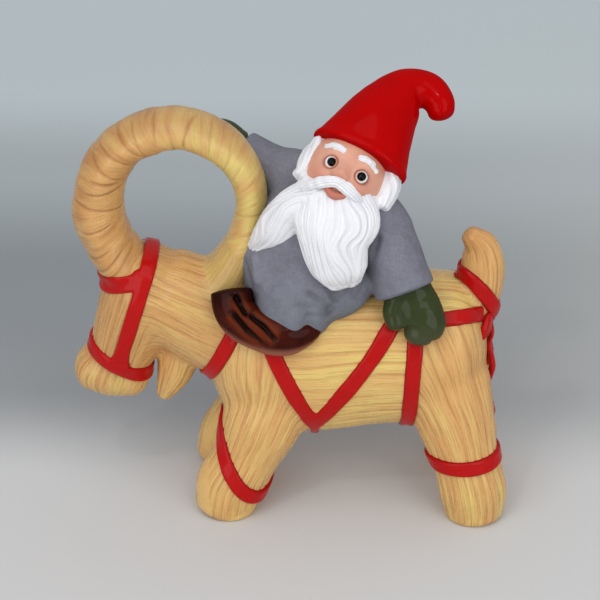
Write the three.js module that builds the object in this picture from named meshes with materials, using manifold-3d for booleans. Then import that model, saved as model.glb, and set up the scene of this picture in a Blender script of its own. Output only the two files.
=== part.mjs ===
// A glazed earthenware yule goat of bound straw, ridden by a tomte.
// Millimetres, +Z up. The goat looks along -X and its left flank faces -Y.
// Each modelled or pressed lump of clay and each relief ribbon is a piece of its own.
import * as THREE from 'three';
import { mergeVertices } from 'three/addons/utils/BufferGeometryUtils.js';
import Module from 'manifold-3d';

const wasm = await Module();
wasm.setup();

// Seams, wall and ribbons
const SEAM = 0.3;
const WALL = 4.5;
const VENT_DIAMETER = 3;
const RIBBON_WIDTH = 5.8;
const RIBBON_THICKNESS = 1.3;
const FRONT_BAND_WIDTH = 5;

// Goat barrel and neck
const BARREL_LENGTH = 116;
const BARREL_HEIGHT = 69;
const BARREL_WIDTH = 60;
const BELLY_HEIGHT = 32.5;
const NECK_THICKNESS = 44;
const NECK_WIDTH = 39;

// Goat head
const HEAD_DEPTH = 35;
const HEAD_WIDTH = 37;
const MUZZLE_THICKNESS = 23;
const GOATEE_THICKNESS = 15;

// Horn hoop: the two horns lie side by side in one ring
const HORN_RADIUS = 31;
const HORN_BASE = 26;
const HORN_TIP = 12;
const HORN_BASE_DEPTH = 30;
const HORN_TIP_DEPTH = 21;

// Legs, feet and tail
const FOOT_DIAMETER = 28.5;
const ANKLE_DIAMETER = 27;
const THIGH_DIAMETER = 35;
const FRONT_STANCE = 41;
const FRONT_STEP = 2;
const HIND_STANCE = 47;
const TAIL_THICKNESS = 17;

// Tomte
const TUNIC_WIDTH = 54;
const TUNIC_DEPTH = 62;
const SLEEVE_DIAMETER = 22;
const CUFF_DIAMETER = 24.5;
const MITTEN_WIDTH = 20;
const MITTEN_THICKNESS = 13;
const TROUSER_DIAMETER = 17;
const FACE_RADIUS = 16.5;
const EYE_RADIUS = 2.6;
const EYE_SPACING = 13.2;
const BEARD_WIDTH = 35;
const CAP_BRIM_RADIUS = 20.5;
const CAP_BRIM_DEPTH = 15.5;
const CAP_HEIGHT = 46;
const HEAD_PITCH = 35;
const HEAD_ROLL = 26;

// Places that the sizes above lead to
const chest = -34;
const rump = chest + BARREL_LENGTH;
const axisZ = BELLY_HEIGHT + BARREL_HEIGHT / 2;
const backZ = BELLY_HEIGHT + BARREL_HEIGHT;
const poll = { x: chest - 24.5, z: axisZ + 37 };
const hornCentre = { x: poll.x + 12, z: poll.z + 30.5 };
const seat = { x: chest + 0.3276 * BARREL_LENGTH, z: backZ };
const vee = { x: chest + 0.3836 * BARREL_LENGTH, z: BELLY_HEIGHT + 10.5 };
const headCentre = new THREE.Vector3(seat.x + 18, -7.5, seat.z + 47);

// Closed tube of oval rings along a smooth line with a dome at each end.
// A station is [x, y, z, tall, wide]: half sizes, with wide lying along the across direction.
function loft(stations, options = {}) {
  const { across = [0, 1, 0], sides = 14, steps = 1, domes = [6, 6], grow = 0 } = options;
  const { domeSteps = 2 } = options;
  const line = new THREE.CatmullRomCurve3(stations.map((s) => new THREE.Vector3(s[0], s[1], s[2])));
  const halves = stations.map((s) => new THREE.Vector3(s[3], s[4], 0));
  const sizes = new THREE.CatmullRomCurve3(halves, false, 'catmullrom', 0.5);
  const reference = new THREE.Vector3(...across);
  const last = (stations.length - 1) * steps;
  const positions = [];
  const frameAt = (t) => {
    const along = line.getTangent(t);
    const wide = reference.clone().addScaledVector(along, -reference.dot(along)).normalize();
    return { centre: line.getPoint(t), along, wide, tall: along.clone().cross(wide) };
  };
  const pushRing = (t, scale, shift) => {
    const { centre, along, wide, tall } = frameAt(t);
    const size = sizes.getPoint(t);
    for (let side = 0; side < sides; side++) {
      const angle = (side / sides) * 2 * Math.PI;
      const point = centre.clone().addScaledVector(along, shift);
      point.addScaledVector(tall, Math.cos(angle) * (size.x + grow) * scale);
      point.addScaledVector(wide, Math.sin(angle) * (size.y + grow) * scale);
      positions.push(...point.toArray());
    }
  };
  const pushPole = (t, shift) => {
    const { centre, along } = frameAt(t);
    positions.push(...centre.addScaledVector(along, shift).toArray());
  };
  const dome = domes.map((length) => length + grow);
  pushPole(0, -dome[0]);
  for (let k = domeSteps - 1; k > 0; k--) {
    const angle = (k / domeSteps) * Math.PI / 2;
    pushRing(0, Math.cos(angle), -dome[0] * Math.sin(angle));
  }
  for (let i = 0; i <= last; i++) pushRing(i / last, 1, 0);
  for (let k = 1; k < domeSteps; k++) {
    const angle = (k / domeSteps) * Math.PI / 2;
    pushRing(1, Math.cos(angle), dome[1] * Math.sin(angle));
  }
  pushPole(1, dome[1]);

  const rings = last + 1 + 2 * (domeSteps - 1);
  const index = [];
  const at = (ring, side) => 1 + ring * sides + (side % sides);
  const end = 1 + rings * sides;
  for (let side = 0; side < sides; side++) {
    index.push(0, at(0, side + 1), at(0, side));
    for (let ring = 0; ring < rings - 1; ring++) {
      const [a, b] = [at(ring, side), at(ring, side + 1)];
      const [c, d] = [at(ring + 1, side), at(ring + 1, side + 1)];
      index.push(a, b, d, a, d, c);
    }
    index.push(end, at(rings - 1, side), at(rings - 1, side + 1));
  }
  const geometry = new THREE.BufferGeometry();
  geometry.setAttribute('position', new THREE.Float32BufferAttribute(positions, 3));
  geometry.setIndex(index);
  return solid(geometry);
}

// Closed three.js geometry as a solid whose faces point out.
function solid(geometry) {
  const bare = geometry.clone();
  bare.deleteAttribute('normal');
  bare.deleteAttribute('uv');
  const merged = mergeVertices(bare, 1e-4);
  const triVerts = new Uint32Array(merged.index.array);
  const vertProperties = merged.attributes.position.array;
  const made = new wasm.Manifold(new wasm.Mesh({ numProp: 3, vertProperties, triVerts }));
  if (made.volume() > 0) return made;
  for (let i = 0; i < triVerts.length; i += 3) {
    [triVerts[i + 1], triVerts[i + 2]] = [triVerts[i + 2], triVerts[i + 1]];
  }
  return new wasm.Manifold(new wasm.Mesh({ numProp: 3, vertProperties, triVerts }));
}

// Ellipsoid with its half sizes along the three given directions.
function ball(centre, [a, b, c], axes = WORLD, grow = 0, detail = [16, 10]) {
  const geometry = new THREE.SphereGeometry(1, ...detail);
  const [x, y, z] = axes.map((axis) => axis.clone());
  x.multiplyScalar(a + grow);
  y.multiplyScalar(b + grow);
  z.multiplyScalar(c + grow);
  const matrix = new THREE.Matrix4().makeBasis(x, y, z).setPosition(centre);
  return solid(geometry.applyMatrix4(matrix));
}
const WORLD = [
  new THREE.Vector3(1, 0, 0),
  new THREE.Vector3(0, 1, 0),
  new THREE.Vector3(0, 0, 1),
];

// Box that runs from one point to another, its width square to that line and to its depth.
function strip(from, to, width, depth = 160, facing = [0, 1, 0]) {
  const start = new THREE.Vector3(...from);
  const along = new THREE.Vector3(...to).sub(start);
  const length = along.length();
  along.normalize();
  const deep = new THREE.Vector3(...facing);
  deep.addScaledVector(along, -deep.dot(along)).normalize();
  const side = deep.clone().cross(along);
  const matrix = new THREE.Matrix4().makeBasis(along, deep, side);
  matrix.setPosition(start.addScaledVector(along, length / 2));
  return solid(new THREE.BoxGeometry(length, depth, width).applyMatrix4(matrix));
}

// Slice of space between two planes, square to the normal, for a band round a leg.
function slice(centre, normal, width, reach) {
  const up = new THREE.Vector3(...normal).normalize();
  const turn = new THREE.Quaternion().setFromUnitVectors(WORLD[2], up);
  const matrix = new THREE.Matrix4().compose(
    new THREE.Vector3(...centre), turn, new THREE.Vector3(1, 1, 1));
  return solid(new THREE.BoxGeometry(reach, reach, width).applyMatrix4(matrix));
}

const block = (low, high) => {
  const size = high.map((value, i) => value - low[i]);
  const geometry = new THREE.BoxGeometry(...size);
  return solid(geometry.translate(...low.map((value, i) => value + size[i] / 2)));
};
const join = (parts) => parts.reduce((sum, part) => sum.add(part));
const carve = (base, tools) => tools.reduce((left, tool) => left.subtract(tool), base);
const mirrorY = (stations) => stations.map(([x, y, z, ...rest]) => [x, -y, z, ...rest]);

// Goat forms, each a function of how far it is grown

const halfHeight = BARREL_HEIGHT / 2;
const halfWidth = BARREL_WIDTH / 2;
// The belly hangs a little lower behind the front legs.
const barrel = (grow = 0) => loft([
  [rump - 16, 0, axisZ + 0.5, halfHeight - 2, halfWidth - 2],
  [rump - 46, 0, axisZ + 0.5, halfHeight - 0.8, halfWidth],
  [chest + 42, 0, axisZ - 1.5, halfHeight + 1, halfWidth],
  [chest + 20, 0, axisZ - 1, halfHeight - 2, halfWidth - 1.5],
], { sides: 22, domes: [16, 20], domeSteps: 3, grow });

const neckTall = NECK_THICKNESS / 2;
const neckWide = NECK_WIDTH / 2;
const neckStations = [
  [chest + 27, 0, axisZ + 5, neckTall + 6.5, neckWide + 5.5],
  [chest + 11, 0, axisZ + 11, neckTall + 3, neckWide + 3],
  [chest - 5, 0, axisZ + 18, neckTall, neckWide + 1],
  [chest - 19, 0, axisZ + 25, neckTall - 2, neckWide - 1],
];
const neck = (grow = 0) => loft(neckStations, { sides: 18, domes: [4, 5], grow });

const deep = HEAD_DEPTH / 2;
const broad = HEAD_WIDTH / 2;
const skull = (grow = 0) => loft([
  [poll.x + 1, 0, poll.z, deep - 3.5, broad - 2.5],
  [poll.x - 1.5, 0, poll.z - 9, deep - 0.5, broad],
  [poll.x - 4.8, 0, poll.z - 20, deep - 1, broad - 0.2],
  [poll.x - 8.8, 0, poll.z - 31, deep - 2.5, broad - 1.9],
  [poll.x - 12, 0, poll.z - 40, deep - 4, broad - 3.5],
], { sides: 18, domes: [8, 8], domeSteps: 3, grow });

const snout = MUZZLE_THICKNESS / 2;
const muzzle = (grow = 0) => loft([
  [poll.x - 8.5, 0, poll.z - 49.5, snout - 1, snout + 1],
  [poll.x - 16.5, 0, poll.z - 48.5, snout - 0.3, snout + 2],
  [poll.x - 23.5, 0, poll.z - 47, snout - 1.3, snout + 1],
], { domes: [8.5, 8.5], domeSteps: 3, grow });

const tuft = GOATEE_THICKNESS / 2;
const goatee = (grow = 0) => loft([
  [poll.x + 12.5, 0, poll.z - 40, tuft + 2, tuft + 1],
  [poll.x + 10, 0, poll.z - 49, tuft + 0.4, tuft - 0.3],
  [poll.x + 6.7, 0, poll.z - 57, tuft - 2.7, tuft - 2.7],
  [poll.x + 5, 0, poll.z - 61, tuft - 4.8, tuft - 4.8],
], { sides: 12, domes: [4, 2.5], grow });

// The hoop springs from the poll, goes over and comes down on the withers.
const hornStart = 236;
const hornEnd = -62;
function horn(grow = 0) {
  const stations = [];
  const count = 14;
  for (let i = 0; i <= count; i++) {
    const share = i / count;
    const degrees = hornStart + (hornEnd - hornStart) * share;
    const angle = THREE.MathUtils.degToRad(degrees);
    const rootFlare = 8 * Math.max(0, 1 - share / 0.25) ** 2;
    const tipFlare = 10 * Math.max(0, (share - 0.82) / 0.18) ** 2;
    const radius = HORN_RADIUS + rootFlare + tipFlare;
    const taper = Math.min(1, share / 0.85);
    const bulge = 1.5 * Math.max(0, 1 - share / 0.3);
    const spread = 4.5 * Math.max(0, (share - 0.82) / 0.18) ** 1.5;
    stations.push([
      hornCentre.x + radius * Math.cos(angle), 0, hornCentre.z + radius * Math.sin(angle),
      (HORN_BASE - 3 + (HORN_TIP - HORN_BASE + 3) * taper) / 2 + bulge + spread,
      (HORN_BASE_DEPTH + (HORN_TIP_DEPTH - HORN_BASE_DEPTH) * taper) / 2 + spread,
    ]);
  }
  return loft(stations, { domes: [3, 3], grow });
}

const brush = TAIL_THICKNESS / 2;
const tail = (grow = 0) => loft([
  [rump - 6, 0, backZ - 15.5, brush + 0.5, brush - 0.5],
  [rump - 3.5, 0, backZ - 3.5, brush + 0.7, brush - 0.5],
  [rump - 3.2, 0, backZ + 5.5, brush + 0.3, brush - 1],
  [rump - 4.8, 0, backZ + 13, brush - 1.3, brush - 2.3],
  [rump - 8, 0, backZ + 17, brush - 4, brush - 3.7],
], { domes: [4, 3.5], grow });

const foot = FOOT_DIAMETER / 2;
const ankle = ANKLE_DIAMETER / 2;
const thigh = THIGH_DIAMETER / 2;
const frontFoot = { x: chest + 8, y: FRONT_STANCE / 2 };
const hindFoot = { x: rump - 4, y: HIND_STANCE / 2 };
const frontLeg = [
  [frontFoot.x + 20.5, -frontFoot.y + 9, axisZ - 11, thigh + 0.5, thigh - 2.5],
  [frontFoot.x + 14.5, -frontFoot.y + 4.5, axisZ - 27, thigh - 0.5, thigh - 3],
  [frontFoot.x + 8, -frontFoot.y + 2, BELLY_HEIGHT - 7.5, ankle + 0.3, ankle - 0.5],
  [frontFoot.x + 1.5, -frontFoot.y + 0.5, 12, foot + 0.3, foot - 0.5],
  [frontFoot.x - 1, -frontFoot.y, 3, foot - 1.2, foot - 1.2],
];
const hindLeg = [
  [hindFoot.x - 13.5, -hindFoot.y + 11, axisZ - 9, thigh + 1.5, thigh - 1.5],
  [hindFoot.x - 9, -hindFoot.y + 6.5, axisZ - 25, thigh - 1, thigh - 3],
  [hindFoot.x - 4.5, -hindFoot.y + 3, BELLY_HEIGHT - 6.5, ankle + 0.4, ankle - 0.5],
  [hindFoot.x - 1, -hindFoot.y + 0.5, 12, foot - 0.1, foot - 0.5],
  [hindFoot.x, -hindFoot.y, 3, foot - 1.6, foot - 1.6],
];
// The right front foot stands a little ahead of the left one.
const stepAhead = (stations, step) =>
  stations.map(([x, ...rest], i) => [x - (step * i) / (stations.length - 1), ...rest]);
const legs = {
  leg_front_left: frontLeg,
  leg_front_right: stepAhead(mirrorY(frontLeg), FRONT_STEP),
  leg_hind_left: hindLeg,
  leg_hind_right: mirrorY(hindLeg),
};
const legForm = (stations, grow = 0) => loft(stations, { sides: 16, domes: [5, 7], domeSteps: 3, grow });
const ground = block([-300, -300, -100], [300, 300, 0]);

const trunk = (grow = 0) => join([barrel(grow), neck(grow)]);
const goatHide = (grow) => join([
  trunk(grow), skull(grow), muzzle(grow), tail(grow),
  ...Object.values(legs).map((stations) => legForm(stations, grow)),
]);

// The barrel and neck are slip cast hollow, with a vent under the belly for the firing.
function goatBody() {
  const hollow = join([barrel(-WALL), neck(-WALL)]);
  const vent = new THREE.CylinderGeometry(VENT_DIAMETER / 2, VENT_DIAMETER / 2, 2 * WALL + 6, 12);
  vent.rotateX(Math.PI / 2).translate(seat.x + 26, 0, BELLY_HEIGHT + WALL / 2);
  return carve(trunk(), [hollow, solid(vent)]);
}

// Tomte forms

const pitch = THREE.MathUtils.degToRad(HEAD_PITCH);
const roll = THREE.MathUtils.degToRad(HEAD_ROLL);
const faceFront = new THREE.Vector3(0, -Math.cos(pitch), Math.sin(pitch));
const faceUp = new THREE.Vector3(Math.sin(roll), Math.cos(roll) * Math.sin(pitch),
  Math.cos(roll) * Math.cos(pitch));
const faceSide = faceUp.clone().cross(faceFront);
const faceAxes = [faceSide, faceUp, faceFront];

// Point in the frame of the face: side towards its left, up towards the crown, out of the face.
function onFace(side, up, out) {
  const point = headCentre.clone();
  return point.addScaledVector(faceSide, side).addScaledVector(faceUp, up).addScaledVector(faceFront, out);
}
const faceStation = ([side, up, out, tall, wide]) => [...onFace(side, up, out).toArray(), tall, wide];

const hemX = TUNIC_WIDTH / 2;
const hemY = TUNIC_DEPTH / 2;
const coat = (grow = 0) => loft([
  [seat.x - 6, 0, seat.z - 16, hemY + 1, hemX - 11],
  [seat.x + 0.2, 0, seat.z - 1, hemY + 0.5, hemX - 0.2],
  [seat.x + 4.2, -1, seat.z + 9, hemY - 4, hemX + 1.2],
  [seat.x + 8, -3, seat.z + 23, hemY - 9.5, hemX - 3.4],
  [seat.x + 15, -5, seat.z + 36, hemY - 14.5, hemX - 9],
  [seat.x + 19, -7, seat.z + 45, hemY - 20, hemX - 15],
], { across: [1, 0, 0], sides: 18, domes: [4, 5], grow });

// The hem hangs in a fold at the left hip.
const hipFold = (grow = 0) => loft([
  [seat.x + 9, -17.5, seat.z - 7, 8, 7],
  [seat.x + 18.5, -17.5, seat.z - 1.5, 9, 8],
  [seat.x + 24, -15.5, seat.z + 6, 8, 7],
], { domes: [4, 4], grow });
const torso = (grow = 0) => join([coat(grow), hipFold(grow)]);

const arm = SLEEVE_DIAMETER / 2;
const cuff = CUFF_DIAMETER / 2;
const shoulder = [seat.x + 22, -6, seat.z + 36];
const wrist = [seat.x + 42.5, -21, seat.z + 3.5];
const sleeveLeft = (grow = 0) => loft([
  [...shoulder, arm - 1, arm - 1],
  [shoulder[0] + 9.5, -9.5, shoulder[2] - 7, arm, arm],
  [shoulder[0] + 15.5, -15, shoulder[2] - 19, arm + 0.3, arm + 0.3],
  [...wrist, cuff, cuff],
], { domes: [4, 2], grow });

const palm = MITTEN_WIDTH / 2;
const pad = MITTEN_THICKNESS / 2;
const mittenLeft = (grow = 0) => join([
  loft([
    [wrist[0] + 1, wrist[1] + 1, wrist[2] + 1, pad, palm - 1],
    [wrist[0] + 5, wrist[1] - 3, wrist[2] - 8, pad, palm],
    [wrist[0] + 7, wrist[1] - 5, wrist[2] - 13.8, pad, palm - 0.5],
    [wrist[0] + 5.5, wrist[1] - 7, wrist[2] - 17.5, pad - 1.5, palm - 4],
  ], { across: [1, 0, 0], sides: 14, domes: [3, 4], grow }),
  loft([
    [wrist[0] - 3, wrist[1] - 2, wrist[2] - 3, pad - 1.5, pad - 1.5],
    [wrist[0] - 4.5, wrist[1] - 4, wrist[2] - 8.5, pad - 2, pad - 2],
    [wrist[0] - 3.5, wrist[1] - 6, wrist[2] - 12.5, pad - 2.7, pad - 2.7],
  ], { across: [1, 0, 0], sides: 10, domes: [3, 3], grow }),
]);

// The right arm reaches round behind the hoop, so its hand follows the hoop's size.
const grip = {
  x: hornCentre.x + 0.42 * HORN_RADIUS,
  y: HORN_BASE_DEPTH / 2 + 4,
  z: hornCentre.z + 0.6 * HORN_RADIUS,
};
const sleeveRight = (grow = 0) => loft([
  [seat.x + 12, 2, seat.z + 43, arm - 0.5, arm - 0.5],
  [seat.x - 2, 8, seat.z + 39.5, arm, arm],
  [seat.x - 11, 13, seat.z + 40, arm - 0.8, arm - 0.8],
  [grip.x + 14, grip.y, grip.z - 6, arm - 1.8, arm - 1.8],
], { sides: 14, domes: [4, 2], grow });
const mittenRight = (grow = 0) => loft([
  [grip.x + 12, grip.y + 0.5, grip.z - 4, pad + 0.5, pad],
  [grip.x + 5, grip.y, grip.z, pad + 1.5, pad],
  [grip.x - 3, grip.y - 2, grip.z + 1.5, pad, pad - 1.5],
], { sides: 12, domes: [3, 4], grow });

const calf = TROUSER_DIAMETER / 2;
const trouserStations = [
  [seat.x - 27, -20, seat.z + 1, calf, calf],
  [seat.x - 26, -23, seat.z - 5, calf, calf],
  [seat.x - 18, -26, seat.z - 12, calf, calf],
  [seat.x - 5, -27, seat.z - 14.5, calf, calf],
  [seat.x + 3, -24.5, seat.z - 12.5, calf - 1.5, calf - 2],
  [seat.x + 8.5, -21.5, seat.z - 10, calf - 5, calf - 5],
];
const trouser = (stations, grow = 0) =>
  loft(stations, { across: [0, 0, 1], sides: 14, domes: [1.5, 2], grow });
const trousers = { trouser_left: trouserStations, trouser_right: mirrorY(trouserStations) };

const skin = (grow = 0) => join([
  ball(headCentre, [FACE_RADIUS, FACE_RADIUS + 1, FACE_RADIUS - 0.5], faceAxes, grow, [16, 10]),
  ball(onFace(-0.5, -2.2, FACE_RADIUS + 0.4), [2.6, 2.4, 2.4], faceAxes, grow, [10, 8]),
]);
const eyeAt = (sign) => onFace(0.5 + sign * EYE_SPACING / 2, 0.1, FACE_RADIUS - 3.4);
const eye = (sign, grow = 0) =>
  ball(eyeAt(sign), [EYE_RADIUS, EYE_RADIUS, EYE_RADIUS], faceAxes, grow, [10, 8]);

const brow = (sign, grow = 0) => loft([
  faceStation([sign * 3.3, 6.3, FACE_RADIUS - 2.2, 1.5, 1.2]),
  faceStation([sign * 7.1, 6.8, FACE_RADIUS - 3.4, 1.7, 1.4]),
  faceStation([sign * 10.7, 5.2, FACE_RADIUS - 6, 1.3, 1.2]),
], { across: faceFront.toArray(), sides: 10, domes: [1, 1], grow });

const lip = (grow = 0) => loft([
  faceStation([-3.4, -9.8, FACE_RADIUS - 3, 1.2, 1.6]),
  faceStation([0.5, -11.2, FACE_RADIUS - 2.4, 1.6, 1.8]),
  faceStation([4, -9.8, FACE_RADIUS - 3, 1.2, 1.6]),
], { across: faceFront.toArray(), sides: 10, domes: [1, 1], grow });

const moustache = (grow = 0) => loft([
  faceStation([-11.5, -9.6, FACE_RADIUS - 6.6, 1.2, 1.6]),
  faceStation([-6.8, -8, FACE_RADIUS - 2.2, 2.5, 2.4]),
  faceStation([-0.8, -6.2, FACE_RADIUS - 0.3, 2.3, 2.2]),
  faceStation([6.2, -7.3, FACE_RADIUS - 2.2, 2.5, 2.4]),
  faceStation([12.7, -8.8, FACE_RADIUS - 7, 1.2, 1.6]),
], { across: faceFront.toArray(), sides: 10, domes: [1, 1], grow });

const bib = BEARD_WIDTH / 2;
const beard = (grow = 0) => loft([
  [headCentre.x - 3, headCentre.y - 9, headCentre.z - 5, 9, bib - 2],
  [headCentre.x - 3.3, headCentre.y - 16, headCentre.z - 13, 8.5, bib],
  [headCentre.x - 3.3, headCentre.y - 20, headCentre.z - 22.5, 7.5, bib - 4],
  [headCentre.x - 1.2, headCentre.y - 22, headCentre.z - 31.5, 5.5, bib - 7],
  [headCentre.x + 0.2, headCentre.y - 21.5, headCentre.z - 36.5, 3, bib - 11.5],
], { across: [1, 0, 0], domes: [4, 2.5], grow });

const beardWing = (grow = 0) => loft([
  [headCentre.x - 8, headCentre.y - 9, headCentre.z - 1, 8, 9],
  [headCentre.x - 20, headCentre.y - 9, headCentre.z - 13, 6.5, 10.5],
  [headCentre.x - 28.5, headCentre.y - 7, headCentre.z - 23, 5.5, 8.5],
  [headCentre.x - 35.5, headCentre.y - 4, headCentre.z - 30.5, 3, 3.8],
], { across: [1, 0, -0.8], sides: 14, domes: [3, 2], grow });

const hair = (grow = 0) => join([
  ball(onFace(0, 0.5, -5), [FACE_RADIUS + 3, FACE_RADIUS + 1, FACE_RADIUS - 1], faceAxes, grow, [12, 8]),
  loft([
    faceStation([16, 9, 1, 4, 4]),
    faceStation([18, 2.5, 2, 4.6, 5]),
    faceStation([18.2, -4.5, 2, 4, 4.6]),
  ], { across: faceFront.toArray(), sides: 12, domes: [2, 2], grow }),
  loft([
    faceStation([-14.6, 8, 2, 3.2, 3.6]),
    faceStation([-14.8, 0, 3.5, 3.6, 4.2]),
    faceStation([-15, -8.5, 4, 4, 5]),
  ], { across: faceFront.toArray(), sides: 12, domes: [2, 2], grow }),
]);

const brim = CAP_BRIM_RADIUS;
const cap = (grow = 0) => loft([
  faceStation([1.9, 8.6, 0.4, brim, CAP_BRIM_DEPTH]),
  faceStation([2.2, 0.45 * CAP_HEIGHT, -1.8, brim - 3.8, CAP_BRIM_DEPTH - 1]),
  faceStation([3.6, 0.73 * CAP_HEIGHT, -4, brim - 7.6, CAP_BRIM_DEPTH - 4]),
  faceStation([7.2, 0.95 * CAP_HEIGHT, -6, brim - 11.2, brim - 11.2]),
  faceStation([14.2, 1.02 * CAP_HEIGHT, -6, brim - 13, brim - 13]),
  faceStation([20.2, 0.97 * CAP_HEIGHT, -6, brim - 14, brim - 14]),
  faceStation([22.8, 0.9 * CAP_HEIGHT, -6, brim - 15, brim - 15]),
], { across: faceFront.toArray(), sides: 14, steps: 2, domes: [1.2, 3], grow });

// Bow under the tail: a knot, two loops and two hanging ends, pressed on to the rump
const knot = [rump + 1, 0, backZ - 18.5];
const knotForm = (grow = 0) =>
  ball(new THREE.Vector3(...knot), [3.4, 4.2, 3.8], WORLD, grow, [10, 8]);

// Ribbons are strips of a thin shell that lies on the finished goat

const rider = (grow) => [
  torso(grow), sleeveLeft(grow), sleeveRight(grow), mittenLeft(grow), mittenRight(grow),
  ...Object.values(trousers).map((stations) => trouser(stations, grow)),
];
const ribbonShell = (hide) => hide(SEAM + RIBBON_THICKNESS).subtract(hide(SEAM));

const flanks = [['left', 1], ['right', -1]];
const flank = (sign) => block([-200, sign > 0 ? -99 : 0, -50], [200, sign > 0 ? 0 : 99, 300]);
const point = (x, z) => [x, 0, z];
const strap = (from, to, wider = 0) =>
  strip(point(...from), point(...to), RIBBON_WIDTH + wider);
const straps = {
  collar: strap([chest - 5, axisZ - 18], [chest + 25, axisZ + 46]),
  // Two bands meet in a mitred V on each flank, and a narrow one ties the Vs under the belly.
  saddle: (wider) => join([
    strap([vee.x + 6.5, BELLY_HEIGHT - 3], [vee.x - 29, axisZ + 36], wider)
      .intersect(block([-200, -99, 0], [vee.x + 0.05, 99, backZ - 6])),
    strap([vee.x - 9.1, BELLY_HEIGHT - 3], [rump - 30, backZ + 3], wider)
      .intersect(block([vee.x - 0.05, -99, 0], [200, 99, backZ - 6])),
    strap([vee.x, BELLY_HEIGHT - 5], [vee.x, vee.z - 2], wider - 2.8),
  ]),
  girth: (wider) => strap([rump - 33.5, BELLY_HEIGHT - 4], [rump - 30, backZ + 4], wider),
  hip: strap([rump - 34, backZ - 6.5], [rump + 6, backZ - 15.6]),
  crupper: (wider = 0) => join(flanks.map(([, sign]) => slice(
    [rump - 16, 0, backZ + 0.5], [0.69, sign * 0.45, 0.56], RIBBON_WIDTH + wider, 90,
  ).intersect(flank(sign)))),
  cheek: (wider) => strap([poll.x + 4.5, poll.z + 16], [poll.x - 13, poll.z - 42], wider),
  brow: strap([poll.x - 24, poll.z - 10.5], [poll.x - 1, poll.z - 0.5]),
  nose: (wider) => strap([poll.x - 28, poll.z - 30], [poll.x + 4, poll.z - 50], wider),
};

// Model: nodes in a group, which is set down on the middle of its footprint

const yuleGoat = new THREE.Group();

const finishes = {
  straw: { color: 0xd2a665, roughness: 0.3 },
  ribbon: { color: 0xb01a16, roughness: 0.2 },
  tunic: { color: 0x7d7d87, roughness: 0.9 },
  mitten: { color: 0x41472a, roughness: 0.25 },
  trouser: { color: 0x4d190e, roughness: 0.15 },
  skin: { color: 0xdba38d, roughness: 0.6 },
  lip: { color: 0xb5736a, roughness: 0.5 },
  white: { color: 0xf0f0f2, roughness: 0.35 },
  eye: { color: 0xf5f2ee, roughness: 0.1 },
  cap: { color: 0xb50505, roughness: 0.2 },
};

// The largest closed shell of a solid: chips that a cut leaves behind are dropped.
function largestShell(geometry) {
  const index = geometry.index.array;
  const parent = Array.from({ length: geometry.attributes.position.count }, (_, i) => i);
  const find = (i) => {
    while (parent[i] !== i) i = parent[i] = parent[parent[i]];
    return i;
  };
  for (let i = 0; i < index.length; i += 3) {
    parent[find(index[i])] = find(index[i + 1]);
    parent[find(index[i + 1])] = find(index[i + 2]);
  }
  const shells = new Map();
  const corner = [0, 1, 2].map(() => new THREE.Vector3());
  for (let i = 0; i < index.length; i += 3) {
    const root = find(index[i]);
    const shell = shells.get(root) ?? { volume: 0, faces: [] };
    corner.forEach((vertex, k) => vertex.fromBufferAttribute(geometry.attributes.position, index[i + k]));
    shell.volume += corner[0].dot(corner[1].clone().cross(corner[2])) / 6;
    shell.faces.push(index[i], index[i + 1], index[i + 2]);
    shells.set(root, shell);
  }
  const kept = [...shells.values()].sort((a, b) => b.volume - a.volume)[0];
  geometry.setIndex(kept.faces);
  return geometry.toNonIndexed();
}

function piece(name, shape, finish) {
  const { vertProperties, triVerts } = shape.getMesh();
  const raw = new THREE.BufferGeometry();
  raw.setAttribute('position', new THREE.Float32BufferAttribute(vertProperties, 3));
  raw.setIndex([...triVerts]);
  const merged = mergeVertices(raw, 2e-3);
  const kept = [];
  const index = merged.index.array;
  for (let i = 0; i < index.length; i += 3) {
    const [a, b, c] = [index[i], index[i + 1], index[i + 2]];
    if (a !== b && b !== c && c !== a) kept.push(a, b, c);
  }
  merged.setIndex(kept);
  const geometry = largestShell(merged);
  geometry.computeVertexNormals();
  const mesh = new THREE.Mesh(geometry, new THREE.MeshStandardMaterial({ ...finishes[finish] }));
  mesh.name = name;
  yuleGoat.add(mesh);
  return mesh;
}

// Goat
const bodySeam = trunk(SEAM);
const skullSeam = skull(SEAM);
piece('goat_body', goatBody(), 'straw');
piece('goat_head', carve(skull(), [bodySeam]), 'straw');
piece('goat_muzzle', carve(muzzle(), [skullSeam, bodySeam]), 'straw');
piece('goatee', carve(goatee(), [bodySeam, skullSeam, muzzle(SEAM)]), 'straw');
piece('horn_hoop', carve(horn(), [bodySeam, skullSeam]), 'straw');
piece('goat_tail', carve(tail(), [bodySeam]), 'straw');
for (const [name, stations] of Object.entries(legs)) {
  piece(name, carve(legForm(stations), [bodySeam, ground]), 'straw');
}

// Rider
const legSeams = Object.values(legs).map((stations) => legForm(stations, SEAM));
const hornSeam = horn(SEAM);
const torsoSeam = torso(SEAM);
const faceSeam = skin(SEAM);
const capSeam = cap(SEAM);
piece('tunic', carve(torso(), [bodySeam, hornSeam]), 'tunic');
piece('sleeve_left', carve(sleeveLeft(), [torsoSeam, bodySeam]), 'tunic');
piece('sleeve_right', carve(sleeveRight(), [torsoSeam, hornSeam, bodySeam, capSeam]), 'tunic');
piece('mitten_left', carve(mittenLeft(), [bodySeam, sleeveLeft(SEAM)]), 'mitten');
piece('mitten_right', carve(mittenRight(), [hornSeam, sleeveRight(SEAM)]), 'mitten');
for (const [name, stations] of Object.entries(trousers)) {
  piece(name, carve(trouser(stations), [bodySeam, torsoSeam, hornSeam, ...legSeams]), 'trouser');
}

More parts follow.
